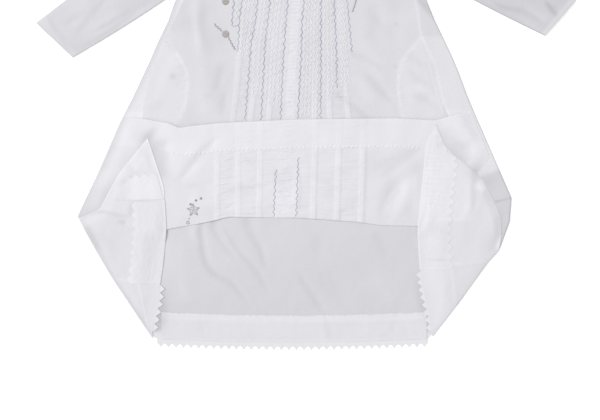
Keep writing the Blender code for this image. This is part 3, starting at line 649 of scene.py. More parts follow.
def hem_drop(x):
    """How far the back hem hangs below its straight line; its ends ride up a little."""
    return 2.1 - 4.6 * np.clip(np.abs(x + 20.5) / 188, 0, 1) ** 2


def foot_share(y):
    """How much of its lift the cloth keeps towards the back hem."""
    return 0.35 + 0.65 * soft_step(y, -330, -270)


def back_height(x, y):
    lift = inside(x, y, opening(), soft=10, grow=8) * foot_share(y)
    low = BACK_Z + 0.06 * puff(x, y)
    floor = OPEN_FLOOR + 0.3 * wander(x, y, 40, 5)
    creased = relief(x, y, BACK_CREASES) * inside(x, y, opening(), soft=8)
    return np.maximum(low + lift * floor + creased, BACK_Z)


def front_base(x, y):
    """Height that the front lies at, lower towards the shoulders and the neck."""
    return FRONT_Z - STEP * np.clip(1 - (shoulder_y(x) - y) / 30, 0, 1)


def front_height(x, y):
    base = front_base(x, y)
    shaped = base + puff(x, y) + relief(x, y, FRONT_CREASES)
    return np.maximum(shaped, base - 0.3)


def folded_height(x, y):
    """The folded-up part, lying low at the fold and at both ends."""
    shaped = FOLDED_Z + puff(x, y) + relief(x, y, FOLDED_CREASES)
    shaped += 0.35 * wander(x, y * 1.6, 30, 14)
    shaped = np.maximum(shaped, FOLDED_Z - 0.4)
    shaped -= 1.6 * soft_step(read(FOLD_LINE, x) + 26 - y, 0, 26)
    ends = np.minimum(x - read(FOLDED_SIDE["left"], y), read(FOLDED_SIDE["right"], y) - x)
    under = FRONT_Z + 0.9
    return lerp(under, shaped, soft_step(ends, -2, 22))


def under_flap(side, x, y):
    """Height of whatever a flap's outer edge lies on."""
    if side == "left":
        return folded_height(x, y)
    reach = soft_step(read(FOLDED_SIDE["right"], y) - x, -4, 10) * (y > -139)
    return lerp(FRONT_Z + 0.3 * puff(x, y), folded_height(x, y), reach)


def flap_height(side, x, y):
    sink = np.clip((FLAP_LEVEL_Y - y) / (FLAP_LEVEL_Y - FLAP_FOOT_Y), 0, 1)
    base = lerp(FLAP_TOP_Z, FLAP_FOOT_Z, sink)
    shaped = base + puff(x, y) + 0.7 * relief(x, y, FLAP_CREASES[side])
    if side == "left":
        shaped = shaped + 0.5 * inside(x, y, PLEAT, soft=3)
    shaped = np.maximum(shaped, base - 0.2)
    fold_y = read(FOLD_LINE, x)
    over_hole = soft_step(fold_y - y, -2, 20)
    floor = BACK_Z + OPEN_FLOOR * foot_share(y)
    distance = from_line(x, y, inner_edge(side))[0]
    near = 1 - soft_step(distance, 1, 34)
    shaped = lerp(shaped, np.minimum(shaped, floor + 0.8), near * over_hole)
    edge = np.minimum(from_line(x, y, FLAP_OUTER[side])[0], distance + 2)
    rim = 1 - soft_step(edge, 0, 16)
    resting = np.minimum(shaped, under_flap(side, x, y) + 0.65)
    shaped = lerp(shaped, resting, rim * soft_step(y, -200, -186))
    shaped = np.where(y > fold_y - 1, np.maximum(shaped, folded_height(x, y) + 0.6), shaped)
    corner_x, corner_y = FLAP_OUTER[side][0]
    corner = np.exp(-((x - corner_x) ** 2 + (y - corner_y) ** 2) / 200)
    return lerp(shaped, np.minimum(shaped, 4.4), corner)


# --- cloth ---

CLOTH_SMOOTH = math.radians(50)
THREAD_SMOOTH = math.radians(70)


class Cloth:
    """A sheet of cloth gathered from grids of points that share their meeting edges."""

    def __init__(self, name):
        self.name = name
        self.points, self.tones, self.crimps, self.places = [], [], [], []
        self.faces = []

    def grid(self, x, y, z, tone, crimp=0, places=None, closed=False):
        """Adds a grid of points in mm; closed joins each row's last point to its first."""
        x, y, z = (np.asarray(value, float) for value in (x, y, z))
        rows, columns = x.shape
        start = sum(len(part) for part in self.points)
        self.points.append(np.stack([x, y, z], -1).reshape(-1, 3))
        self.tones.append(np.broadcast_to(tone, x.shape).reshape(-1))
        self.crimps.append(np.broadcast_to(crimp, x.shape).reshape(-1))
        if places is None:
            across = np.hypot(np.diff(x, axis=1), np.diff(y, axis=1)).mean(0)
            down = np.hypot(np.diff(x, axis=0), np.diff(y, axis=0)).mean(1)
            places = np.meshgrid(running_total(across), running_total(down))
        self.places.append(np.stack(places, -1).reshape(-1, 2))
        index = np.arange(rows * columns).reshape(rows, columns) + start
        if closed:
            index = np.concatenate([index, index[:, :1]], 1)
        quads = np.stack([index[:-1, :-1], index[:-1, 1:], index[1:, 1:], index[1:, :-1]], -1)
        self.faces.append(quads.reshape(-1, 4))

    def finish(self, kind, wall=None):
        """Joins the grids and gives the sheet its wall, its material and its body."""
        wall = wall or bpy.context.scene.dress_sizes.cloth_wall
        mesh = bpy.data.meshes.new(self.name)
        points = np.concatenate(self.points) * MM
        faces = np.concatenate(self.faces)
        mesh.from_pydata(points.tolist(), [], faces.tolist())
        for name, parts in (("tone", self.tones), ("crimp", self.crimps)):
            values = mesh.attributes.new(name, "FLOAT", "POINT")
            values.data.foreach_set("value", np.concatenate(parts).astype(np.float32))
        weave = mesh.uv_layers.new(name="weave")
        corners = np.concatenate(self.places)[faces.reshape(-1)] / 100
        weave.data.foreach_set("uv", corners.astype(np.float32).reshape(-1))
        work = bmesh.new()
        work.from_mesh(mesh)
        bmesh.ops.remove_doubles(work, verts=work.verts, dist=0.02 * MM)
        bmesh.ops.dissolve_degenerate(work, edges=work.edges, dist=0.001 * MM)
        bmesh.ops.recalc_face_normals(work, faces=work.faces)
        work.to_mesh(mesh)
        work.free()
        piece = place(self.name, mesh, cotton(kind))
        solid = piece.modifiers.new("Wall", "SOLIDIFY")
        solid.thickness = wall
        solid.offset = 0
        bpy.ops.object.modifier_apply(modifier=solid.name)
        bpy.ops.object.shade_smooth_by_angle(angle=CLOTH_SMOOTH)
        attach(piece, "root")
        return piece


def deselect():
    for other in bpy.context.view_layer.objects:
        other.select_set(False)


def place(name, mesh, material):
    """Puts a mesh into the scene as an object, the only one selected."""
    mesh.materials.append(material)
    piece = bpy.data.objects.new(name, mesh)
    bpy.context.scene.collection.objects.link(piece)
    deselect()
    piece.select_set(True)
    bpy.context.view_layer.objects.active = piece
    return piece


def arc(x, y, low_z, high_z, direction):
    """Columns of points round a folded edge, from the lower sheet to the upper one."""
    turns = np.pi * np.arange(1, COLUMNS_ROUND + 1) / (COLUMNS_ROUND + 1)
    bulge = FOLD_BULGE * np.sin(turns)
    rise = (1 - np.cos(turns)) / 2
    return (x[:, None] + direction[0] * bulge, y[:, None] + direction[1] * bulge,
            low_z[:, None] + (high_z - low_z)[:, None] * rise)


def folded_round(x, y, z, direction):
    """A grid with its first column carried round a folded edge and down to the back."""
    start_x, start_y = x[:, 0], y[:, 0]
    low = back_height(start_x, start_y)
    edge = arc(start_x, start_y, low, z[:, 0], direction)
    return column_stack((start_x[:, None], start_y[:, None], low[:, None]), edge, (x, y, z))


def rolled(x, y, z, drop, radius):
    """Rows from an edge on, that roll out by radius to its right and under by drop."""
    run_x, run_y = np.gradient(x), np.gradient(y)
    length = np.hypot(run_x, run_y) + 1e-9
    turns = np.pi * even(5)[:, None]
    out = radius * np.sin(turns)
    return (x + run_y / length * out, y - run_x / length * out, z - drop * (1 - np.cos(turns)) / 2)


def refined(pairs, spacing):
    """Row ends between the rows of a table, no further apart than spacing."""
    rows = []
    for upper, lower in zip(pairs, pairs[1:]):
        drop = max(abs(a - b) for a, b in zip(upper, lower))
        count = max(1, math.ceil(drop / spacing))
        for index in range(count):
            share = index / count
            rows.append(tuple(lerp(a, b, share) for a, b in zip(upper, lower)))
    rows.append(tuple(pairs[-1]))
    return np.array(rows)


def diagonal(side, start_y, end_y, count):
    """Points down the folded outline, where the flat sheet begins to turn over."""
    y = np.linspace(start_y, end_y, count)
    return edge_x(side, y), y


def between(start, end, shares):
    """A grid whose rows run from one edge across to another."""
    return [lerp(a[:, None], b[:, None], shares) for a, b in zip(start, end)]


def fold_direction(side):
    length = math.hypot(1, DIAGONAL_SLANT)
    return OUTWARD[side] / length, -DIAGONAL_SLANT / length


def column_stack(*parts):
    """Joins grids of points side by side."""
    return [np.concatenate([part[axis] for part in parts], 1) for axis in range(3)]


# --- shades of the cloth ---

def seam_light(distance, doubled=1):
    """The lighter doubled cloth along a seam, with a stitch line beside it."""
    light = 3 * hump(distance - 6, 1.6) - 4 * hump(distance - 3.2, 1.1)
    light -= 2 * hump(distance - 9.5, 1.8)
    return 9 * hump(distance, 2) + doubled * light


def side_seam_light(side, x, y, doubled):
    """The light line of the front's side seam, fainter on the left."""
    distance = from_line(x, y, swapped(seam(side, FRONT_SEAM_LOW)))[0]
    return seam_light(distance, doubled) * (0.4 if side == "left" else 1)


def back_seam_light(side, x, y):
    """The light line of the back's seam across a folded-over corner."""
    ends = [(EDGE[side][-2][1], BACK_FOLD_START[side]), FLAP_INNER[side][-1]]
    return 6 * hump(from_line(x, y, ends)[0], 1.8)


def back_tone(x, y):
    hole = inside(x, y, opening(), soft=3)
    tone = 229 - 12 * hole + relief(x, y, SHADES["back"]) * hole
    tone -= 4 * hole * soft_step(-y + 0.3 * x, 150, 250)
    # the creases are painted in too: painted shade in troughs, painted light on ridges
    return tone + 3 * relief(x, y, BACK_CREASES) * hole


def corner_tone(side, x, y):
    """The back's folded-over corners, paler where the facing lies behind them."""
    edge = read(BACK_FACING_EDGE[side], y)
    behind = soft_step(OUTWARD[side] * (edge - x), -1, 1)
    tone = 223.5 + 2.5 * behind + 0.6 * wander(x, y, 30, 7)
    tone += 3 * (side == "left") + 6 * hump(x - edge, 1.6)
    # less the painted shade where the cloth turns under at the outline
    return tone + back_seam_light(side, x, y) - rim_shade(side, x, y)


def rim_shade(side, x, y):
    """Painted shade where the cloth turns under at the folded outline: how much darker it is."""
    from_edge = x - edge_x(side, y)
    if side == "right":
        return 4 * hump(from_edge, 6)
    return 12 * hump(from_edge, lerp(4.5, 9.5, soft_step(y, -222, -196)))


def upper_seam(side):
    """Points down the front's side seam, above the folded-up part."""
    return [(x, y) for y, x in seam(side, FRONT_SEAM_LOW) if y > -30][1:]


def pocket_outline(side):
    line = [(x, y) for y, x in seam(side, FRONT_SEAM_LOW) if -60 < y < 100]
    return swapped(POCKET[side]) + [(line[-1][0], -55)] + line[::-1]


def front_tone(x, y):
    # a little lighter to the left: a gradient of painted light, from the side the light comes from
    tone = lerp(220.5, 222.5, soft_step(-x, -40, 60)) + 1.2 * wander(x, y, 60, 21)
    for side, shade in (("left", 228), ("right", 225.5)):
        tone = lerp(tone, shade, inside(x, y, pocket_outline(side)))
    # painted shading strokes, and the creases painted in as shade
    tone += relief(x, y, SHADES["front"]) + 2.2 * relief(x, y, FRONT_CREASES)
    for side in SIDES:
        rim = from_line(x, y, trace(swapped(POCKET[side]), 60, soft=12))[0]
        tone += 7.5 * hump(rim, 2.2)
        doubled = soft_step(-y, -66, -58) * (0.5 if side == "left" else 1)
        tone += side_seam_light(side, x, y, doubled)
    # three small soft dark spots on the front
    for px, py, depth, size in ((-187.8, 41.5, 15, 19), (124.6, 114.8, 9, 9), (123.2, 56, 9, 7)):
        tone -= depth * np.exp(-((x - px) ** 2 + (y - py) ** 2) / size)
    # a thin painted shadow just above the folded-up hem's edge
    return tone - 7 * np.exp(-np.maximum(y - read(HEM_LINE, x), 0) / 1.6)


def puckered(x, y):
    """Where sewing gathers the front a little: along the pocket edges and side seams."""
    gathered = 0
    for side in SIDES:
        sewn = upper_seam(side)
        within = inside(x, y, pocket_outline(side), soft=2)
        for line, reach, depth in ((swapped(POCKET[side]), 9, 0.55 * within), (sewn, 5, 0.4)):
            gathered = np.maximum(gathered, depth * hump(from_line(x, y, line)[0], reach))
    return gathered


def folded_tone(x, y):
    hem_y = read(HEM_LINE, x)
    # a little lighter to the left: a gradient of painted light
    tone = lerp(227.5, 230, soft_step(-x, -60, 60)) + wander(x, y, 45, 31)
    tone -= 3 * soft_step(x, 80, 110) * soft_step(-y, 62, 84)
    # painted shade towards the lower left corner, where the cloth turns
    tone -= 8 * soft_step(-x, 246, 276) * soft_step(-y, 92, 126)
    tone = tone + 3 * soft_step(y, hem_y - 40, hem_y - 37.5)
    # painted shading strokes, and the creases painted in as shade
    tone += relief(x, y, SHADES["folded"]) + 2.2 * relief(x, y, FOLDED_CREASES)
    # painted shadows beside the flaps' outer edges
    tone -= 9 * beside(x, y, FLAP_OUTER["left"], 6)
    tone -= 15 * beside(x, y, FLAP_OUTER["right"], 9) * soft_step(-y, 20, 50)
    # painted shadow in the gap beside the left flap's inner edge, and painted shade at the left end
    gap = hump(from_line(x, y, FLAP_INNER["left"][:3])[0], 10) * soft_step(y, -110, -88)
    end = x - read(FOLDED_SIDE["left"], y)
    end = 9 * hump(end, 11) + 4 * hump(end, 3)
    tone -= end * soft_step(y, -115, -80)
    return tone - 16 * gap


def gore_tone(side, x, y):
    tone = 229 if side == "left" else 227
    tone = tone + wander(x, y, 50, 41) + 5 * soft_step(-y, 4, 10)
    tone += relief(x, y, SHADES.get("gore " + side, ()))
    if side == "right":
        # painted shade at the top, under the arm
        tone -= 7 * soft_step(y, 96, 99)
        # the dark wedge near the right corner: fewer layers, and painted shade
        tone -= 17 * soft_step(-y + 0.4 * (x - 250), 92, 101)
        # painted shadow beside the flap's outer edge
        under = lerp(15, 3, soft_step(-y, 96, 122)) * soft_step(-y, 20, 50)
        tone -= under * beside(x, y, FLAP_OUTER["right"], 9)
        # a painted shade line along a crease near the corner
        tone -= 18 * hump(y + 131.5 - 0.25 * (x - 275), 1.4)
        # more painted shadow beside the lower part of the flap's edge
        tone -= 3 * beside(x, y, FLAP_OUTER["right"][:5], 3) * soft_step(-y, 126, 134)
    else:
        tone += 3 * soft_step(-y, -40, 0) - 8 * soft_step(-y, 90, 130)
        # painted shade where the cloth turns under at the outline
        turned = lerp(9, 3.5, soft_step(-y, 0, 30))
        tone -= turned * hump(x - edge_x(side, y), 6)
        tone -= 6 * soft_step(-y, 14, 24)
    return tone + side_seam_light(side, x, y, doubled=0)


def flap_tone(side, x, y):
    wave = 0.8 * wander(x, y, 40, 51)
    outer = from_line(x, y, trace(FLAP_OUTER[side], 40, soft=6))[0]
    # painted shading strokes, and the creases painted in as shade
    creased = relief(x, y, SHADES["flap " + side]) + 2.2 * relief(x, y, FLAP_CREASES[side])
    inner = read(swapped(FLAP_INNER[side]), y)
    if side == "left":
        tone = 225.5 + wave + 5 * soft_step(x, -256, -236)
        tone = lerp(tone, 229, inside(x, y, PLEAT, soft=2.5))
        tone = lerp(tone, 232.5, inside(x, y, PLEAT, soft=2.5) * soft_step(y, -110, -96))
        tone = lerp(tone, 238.5, inside(x, y, PLEAT_BAND, soft=2.5))
        tone += 2.5 * (x > inner - HEM_DEPTH) * (y < -134)
        # painted shade where the flap turns under at the outline
        creased -= rim_shade(side, x, y) * soft_step(-y, 158, 175)
        # painted light along the flap's inner edge
        creased += 12 * hump(inner - x, 2) * soft_step(y, -190, -180)
        return tone + back_seam_light(side, x, y) + creased
    light = soft_step(-x, -231, -228) * soft_step(y, -162, -159)
    light = lerp(light, 2.2, soft_step(y, -80, -60))
    # painted shade along the flap's outer edge
    shade = lerp(3, 8, soft_step(y, -120, -90)) * soft_step(-y, 30, 60)
    creased += back_seam_light(side, x, y)
    # painted shade where the flap turns under at the outline
    creased -= rim_shade(side, x, y) * soft_step(-y, 205, 215)
    return 225 + wave + 3.5 * light - shade * np.exp(-outer / 4) + creased


# --- the panels ---

def make_back():
    sheet = Cloth("dress_back")
    columns = even(151)
    ends = refined(BACK_ROWS, 3.6)
    left, right = ((read(seam(side, BACK_SEAM_LOW), y, 0.5) - OUTWARD[side] * 0.05, y)
                   for side, y in zip(SIDES, ends.T))
    x, y = between(left, right, columns)
    top_x, top_y = shoulder_rows(columns, BACK_ROWS[0], 30, BACK_NECK_DROP)
    corner = {side: diagonal(side, BACK_FOLD_START[side], BACK_FOLD_END[side], 27)
              for side in SIDES}
    low_x, low_y = between(corner["left"], corner["right"], columns)
    hem_x = lerp(*BACK_HEM_X, columns)[None]
    hem_y = np.full_like(hem_x, BACK_HEM_Y)
    middle_x, middle_y = (low_x[-1:] + hem_x) / 2, (low_y[-1:] + hem_y) / 2
    x = np.concatenate([top_x, x, low_x, middle_x, hem_x])
    y = np.concatenate([top_y, y, low_y, middle_y, hem_y])
    y = y - hem_drop(x) * soft_step(-y, 250, -BACK_HEM_Y)
    sheet.grid(x, y, back_height(x, y), back_tone(x, y), crimp=0.1)
    for side in SIDES:
        parts = flap_grid(side, corner[side], trace(BACK_INNER[side], 27, soft=6), 56)
        sheet.grid(*parts, corner_tone(side, parts[0], parts[1]), crimp=0.1)
    piece = sheet.finish("cotton")
    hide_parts("back")


def shoulder_rows(columns, chest, count, drop):
    """Rows from the shoulders and neckline down to the armhole row, not including it."""
    shares = even(count + 1)[:-1, None]
    x = lerp(armhole_x("left", shares), armhole_x("right", shares), columns)
    top = np.minimum(shoulder_y(x[0]), neck_y(x[0], drop))
    return x, lerp(top, lerp(*chest, columns), shares)


def flap_grid(side, folded, inner, columns, bow=None):
    """A flap: round the folded outline, then across to its inner edge."""
    x, y = between(folded, inner.T, even(columns + 1))
    if bow is not None:
        fade = np.linspace(1, 0, len(x))[:, None] ** 2
        x, y = x + bow[:, 0] * fade, y + bow[:, 1] * fade
    return folded_round(x, y, flap_height(side, x, y), fold_direction(side))


def make_side_panel(side):
    """A gore: its back half, its front half, and the flap that turns over at the hem."""
    sheet = Cloth("side_gore_" + side)
    front_seam = seam(side, FRONT_SEAM_LOW)
    armpit_y, seam_top_y = ARMHOLE[side][2][0], ARMHOLE[side][1][0]
    pairs = [(armpit_y - 1.5, seam_top_y - 1.5)]
    pairs += [(min(y, armpit_y - 40), y) for y, _ in front_seam[2:-1]]
    if side == "right":
        pairs += [(-129, -107), (-162, -124)]
    pairs.append((FLAP_FOLD_START[side] + 0.1, front_seam[-1][0]))
    upper = refined(pairs, 3.2)
    fold_x, fold_y = diagonal(side, FLAP_FOLD_START[side], BACK_FOLD_START[side] + 0.05, 61)

    outer_y, seam_y = upper.T
    outer_x = edge_x(side, outer_y)
    long_y = np.concatenate([seam_y, fold_y])
    long_x = read(seam(side, BACK_SEAM_LOW), long_y, 0.5) + OUTWARD[side] * 0.05
    outline = np.concatenate([outer_x, fold_x]), np.concatenate([outer_y, fold_y])
    x, y = between((long_x, long_y), outline, even(19))
    sheet.grid(x, y, back_height(x, y), 227, crimp=0.1)

    seam_x = read(front_seam, seam_y, 0.5) + OUTWARD[side] * 0.05
    if side == "left":
        seam_x += 5 * soft_step(-seam_y, 100, 150)
    x, y = between((outer_x, outer_y), (seam_x, seam_y), even(31))
    parts = folded_round(x, y, front_height(x, y), (OUTWARD[side], 0))
    tone = gore_tone(side, parts[0], parts[1])
    # painted shade on the gore's turned edge at the outline
    tone[:, :COLUMNS_ROUND + 2] -= 14 if side == "left" else 9
    sheet.grid(*parts, tone, crimp=0.25)

    columns = 56
    outer = trace(FLAP_OUTER[side], columns + 1, soft=8)
    bow = outer - lerp(outer[0], outer[-1], even(columns + 1)[:, None])
    inner = trace(FLAP_INNER[side], 61, soft=8)
    parts = flap_grid(side, (fold_x, fold_y), inner, columns, bow)
    sheet.grid(*parts, flap_tone(side, parts[0], parts[1]), crimp=0.15)
    edge = (part[0, COLUMNS_ROUND + 1:] for part in parts)
    x, y, z = rolled(*edge, 2.2, radius=0.9 * OUTWARD[side])
    sheet.grid(x, y, z, flap_tone(side, x, y), crimp=0.15)
    piece = sheet.finish("cotton")
    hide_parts("side_panel_" + side)


def front_columns():
    """x at five levels of the first and last columns; between them also each one's looks."""
    first = np.array(BANDS[0]) + BAND_OFFSETS[0]
    last = np.array(BANDS[-1]) + BAND_OFFSETS[-1]
    middle = []
    for index, band in enumerate(BANDS):
        edge = index in STRIP_EDGES
        for offset in BAND_OFFSETS:
            width = abs(offset)
            ridge = 0 if edge else 0.6 * float(soft_step(4 - width, 0, 1.3))
            light = 0 if edge else float(soft_step(4 - width, 0.3, 1))
            # a painted shadow on the right edge of the shaded bands
            shade = 1 if offset == 4.6 and index in SHADED_BANDS else 0
            middle.append((np.array(band) + offset, ridge, light, shade, 0.5))
        if index + 1 < len(BANDS):
            following = np.array(BANDS[index + 1])
            gap = following[3] - band[3] - 2 * BAND_OFFSETS[-1]
            count = max(3, round(gap / 2.2))
            for step in range(1, count):
                share = step / count
                place = lerp(np.array(band) + BAND_OFFSETS[-1], following + BAND_OFFSETS[0], share)
                strip = 1 if index == STRIP_EDGES[0] else 0
                middle.append((place, 0, strip, 0, 1 + 0.5 * strip))
    return first, middle, last


def front_x(columns, y, side_x):
    """x of every column at heights y, one row for each, between the two side seams."""
    levels = np.array(BAND_LEVELS)
    first, middle, last = columns
    places = [np.interp(-y, -levels, np.array(place[:4])) for place, *_ in middle]
    left_foot = np.interp(-y, -levels, first[:4])
    right_foot = np.interp(-y, -levels, last[:4])
    left = [lerp(side_x[0], left_foot, share) for share in LEFT_SHARES]
    right = [lerp(right_foot, side_x[1], share) for share in RIGHT_SHARES]
    return np.stack(left + places + right, -1)


# Where the columns beside the bands lie: left ones from the seam, right ones from the last band.
LEFT_SHARES = np.concatenate([np.linspace(0, 0.1, 9)[:-1], np.linspace(0.1, 1, 33)[:-1]])
RIGHT_SHARES = 1 - LEFT_SHARES[::-1]
# Heights of the front's rows at its left and right seams, and of its last row.
FRONT_ROWS = [(182, 207), (148, 160), (90, 97), (45, 63), (-2, 6), (-21, -14)]
FRONT_FOOT = (-150, -137)


def make_front():
    sheet = Cloth("dress_front")
    columns = front_columns()
    middle = columns[1]
    # the looks of each column: its ridge, light, shade (a painted shadow beside some bands) and
    # crimp
    ridge, light, shade, crimp = (padded([row[k] for row in middle]) for k in range(1, 5))
    strip = strip_mask(middle)

    shares = even(15)[1:, None]
    ends = np.concatenate([refined(FRONT_ROWS, 2.9),
                           lerp(np.array(FRONT_ROWS[-1]), np.array(FRONT_FOOT), shares)])
    side_x = [read(seam(side, FRONT_SEAM_LOW), ends[:, k], 0.5) + OUTWARD[side] * 0.4
              for k, side in enumerate(SIDES)]
    x = front_x(columns, ends.mean(1), side_x)
    across = (x - x[:, :1]) / (x[:, -1:] - x[:, :1])
    y = lerp(ends[:, :1], ends[:, 1:], across)
    top_x, top_y = front_top(columns, x[0], y[0])
    fold_x = front_x(columns, np.array([-162]),
                     [np.array([FOLDED_SIDE[side][0][1]]) for side in SIDES])
    fold_y = read(FOLD_LINE, fold_x) + FOLD_INSET
    x = np.concatenate([top_x, x, fold_x])
    y = np.concatenate([top_y, y, fold_y])
    show = soft_step(y, -24, -18)
    bare = band_share(y, strip)
    tone = front_tone(x, y) + light * lerp(1, 6, bare) * show
    tone += (1.5 * crimp + 3 * strip) * show
    z = front_height(x, y) + ridge * show * lerp(0.15, 0.8, bare)
    slack = soft_step(y, -160, -140)
    z = lerp(FRONT_Z, z, slack)
    crimps = 0.1 + crimp * lerp(1.3, 0.6, soft_step(-y, -6, 6)) * show
    crimps = crimps * lerp(0.55, 1, soft_step(x, -102, -84)) + 1.3 * puckered(x, y)
    u = np.broadcast_to(x[len(top_x)], x.shape)
    v = np.broadcast_to(running_total(np.abs(np.diff(y.mean(1))))[:, None], x.shape)
    sheet.grid(x, y, z, tone, crimps, places=(u, v))

    x, y, z = fold_grid(columns, fold_x[0], fold_y[0])
    body = soft_step(y, -169, -160)
    below = soft_step(read(HEM_LINE, x) - y, 38, 41)
    z = z + ridge * lerp(0.2, 0.5, below) * body
    low_strip = soft_step(-y, 100, 124) * strip
    uneven = 0.75 + 0.3 * wander(x * 0.3, y, 16, 77) + 0.35 * wander(x * 0.5, y, 7, 79)
    uneven = uneven * (1 - 0.8 * strip)
    tone = folded_tone(x, y) + light * lerp(1.2, 5, below) * uneven + 4 * low_strip
    # painted shadow down the right side of the shaded bands
    tone -= 9 * shade * lerp(0.2, 1, below) * (0.8 + 0.4 * wander(x * 0.3, y, 22, 78))
    crimps = 0.1 + crimp * lerp(0.3, 0.75, below) * body
    v = np.broadcast_to((400 + np.cumsum(np.abs(np.gradient(y.mean(1)))))[:, None], x.shape)
    sheet.grid(x, y, z, tone, crimps, places=(np.broadcast_to(u[0], x.shape), v))
    piece = sheet.finish("cotton")
    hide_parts("front")


def padded(values):
    """Values for the middle columns, with zeros for the columns on each side of them."""
    return np.concatenate([0 * LEFT_SHARES, values, 0 * RIGHT_SHARES])


def band_share(y, strip):
    """Where the pressed bands lie bare, below the stitched part; the first starts higher."""
    first = len(LEFT_SHARES) + len(BAND_OFFSETS)
    bare = soft_step(-y, -46, 6)
    bare[:, :first] = soft_step(-y, -112, -92)[:, :first] * 0.7
    return np.maximum(bare, 0.55 * strip)


def strip_mask(middle):
    """1 on the columns of the plain strip between the two middle bands."""
    low, high = (BANDS[index][3] for index in STRIP_EDGES)
    return padded([low <= places[3] <= high for places, *_ in middle])


def front_top(columns, row_x, row_y):
    """Rows from the shoulders, neckline and slit down to the armhole row."""
    shares = even(57)[:-1, None]
    ends = [np.array([ARMHOLE[side][0][1] - OUTWARD[side] * 0.1]) for side in SIDES]
    top_x = front_x(columns, np.array([290]), ends)[0]
    foot = int(np.argmin(np.abs(top_x - SLIT_FOOT_X)))
    top_x[foot - 1] = SLIT_X - SLIT_HALF
    top_x[foot + 1] = SLIT_X + SLIT_HALF
    top_x[:foot - 1] = np.minimum(top_x[:foot - 1], SLIT_X - SLIT_HALF - 0.5)
    top_x[foot + 2:] = np.maximum(top_x[foot + 2:], SLIT_X + SLIT_HALF + 0.5)
    top_y = np.minimum(shoulder_y(top_x), neck_y(top_x, FRONT_NECK_DROP))
    top_x[foot] = SLIT_FOOT_X
    top_y[foot] -= SLIT_DEPTH
    x = lerp(top_x, row_x, shares)
    x[:, 0] = armhole_x("left", shares[:, 0])
    x[:, -1] = armhole_x("right", shares[:, 0])
    return x, lerp(top_y, row_y, shares)


def fold_grid(columns, fold_x, fold_y):
    """The turn at the fold, the folded-up part, and the roll at its hem edge."""
    first, middle, last = columns
    left_end, right_end = (FOLDED_SIDE[side][-1][1] for side in SIDES)
    hem_x = np.concatenate([lerp(left_end, first[4], LEFT_SHARES),
                            [places[4] for places, *_ in middle],
                            lerp(last[4], right_end, RIGHT_SHARES)])
    shares = even(54)[:, None]
    x = lerp(fold_x, hem_x, shares)
    y = lerp(fold_y, read(HEM_LINE, hem_x), shares)
    left_x = read(FOLDED_SIDE["left"], y[:, 0], 2)
    right_x = read(FOLDED_SIDE["right"], y[:, -1], 2)
    x[:, :len(LEFT_SHARES)] += (left_x - x[:, 0])[:, None] * (1 - LEFT_SHARES)
    x[:, -len(RIGHT_SHARES):] += (right_x - x[:, -1])[:, None] * RIGHT_SHARES
    z = folded_height(x, y)
    low = np.full_like(fold_x, FRONT_Z)
    turn = arc(fold_x, fold_y, low, z[0], (0, -1))
    roll = rolled(x[-1], y[-1], z[-1], 1.1, radius=-0.6)
    return [np.concatenate([start[None], turned.T, flat, under[1:]])
            for start, turned, flat, under in zip((fold_x, fold_y, low), turn, (x, y, z), roll)]


# --- hems ---

def tooth(share, count):
    """Height of a row of pointed teeth, 0 in the valleys and 1 at the tips."""
    phase = np.abs((share * count) % 1 - 0.5) * 2
    return 1 - np.clip(phase, 0.06, 1)


def toothed(name, line, reach, height, counts, tone, valley, tip, lift, rows=16, arch=1):
    """A strip of cloth from a plain edge out to an edge of pointed teeth.

    line and reach give the plain edge and the outward step at shares along it. The
    strip is valley deep between the teeth and tip deep at them, and arch over 1
    rounds the gaps between them.
    """
    sheet = Cloth(name)
    shares = even(counts * 8 + 1)
    start_x, start_y = line(shares)
    step_x, step_y = reach(shares)
    depth = lerp(valley, tip, tooth(shares, counts) ** arch)
    across = even(rows + 1)[:, None]
    x = start_x + step_x * depth * across
    y = start_y + step_y * depth * across
    z = height(x, y) + lift
    if callable(tone):
        tone = tone(x, y)
    sheet.grid(x, y, z, tone, crimp=0.3)
    roll = rolled(x[0], y[0], z[0], lift + 0.5, radius=0.5)
    outward = (roll[0][2] - x[0]) * step_x + (roll[1][2] - y[0]) * step_y
    if np.sign(outward).mean() > 0:
        roll = rolled(x[0], y[0], z[0], lift + 0.5, radius=-0.5)
    sheet.grid(*roll, np.ravel(tone)[0], crimp=0.3)
    return sheet


def down_edge(side, table, top, bottom):
    """A line for toothed, down an edge of y, x and just inside it."""
    def line(shares):
        y = lerp(top, bottom, shares)
        return read(table, y) - OUTWARD[side] * 0.2, y
    return line


def downwards(shares):
    """A step for toothed, straight down."""
    return np.zeros_like(shares), -np.ones_like(shares)


def band_tone(side, x, y):
    """The doubled cloth of the turned hem on the side flaps."""
    inner = read(swapped(FLAP_INNER[side]), y)
    if side == "left":
        seam_at = soft_step(-y, 243, 247)
        tips = soft_step(inner - x, HEM_DEPTH - 3, HEM_DEPTH + 2)
        # painted light along the hem's inner edge
        edge = 12 * hump(inner - x, 2) * soft_step(y, -190, -180)
        return 231.5 + 2 * seam_at + 4 * tips + edge + 0.6 * wander(x, y, 25, 91)
    tone = 231.5 - 5.5 * soft_step(-y, 140, 175) + 0.6 * wander(x, y, 25, 92)
    tone += relief(x, y, SHADES["flap right"])
    # the crimps painted as light and dark stripes: painted shade
    crimp_shade = np.sin(y * 1.06 + 1.6 * wander(x, y, 34, 93)) + 0.6 * np.sin(y * 0.71 + x / 9)
    crimp_shade *= lerp(1.5, 0.6, soft_step(x - inner, 8, 34))
    tone += crimp_shade * soft_step(-y, 58, 74) * soft_step(y, -162, -140)
    tips = soft_step(x - inner, HEM_DEPTH - 2, HEM_DEPTH + 2)
    return tone + 4 * soft_step(-y, 224, 228) + 4 * tips


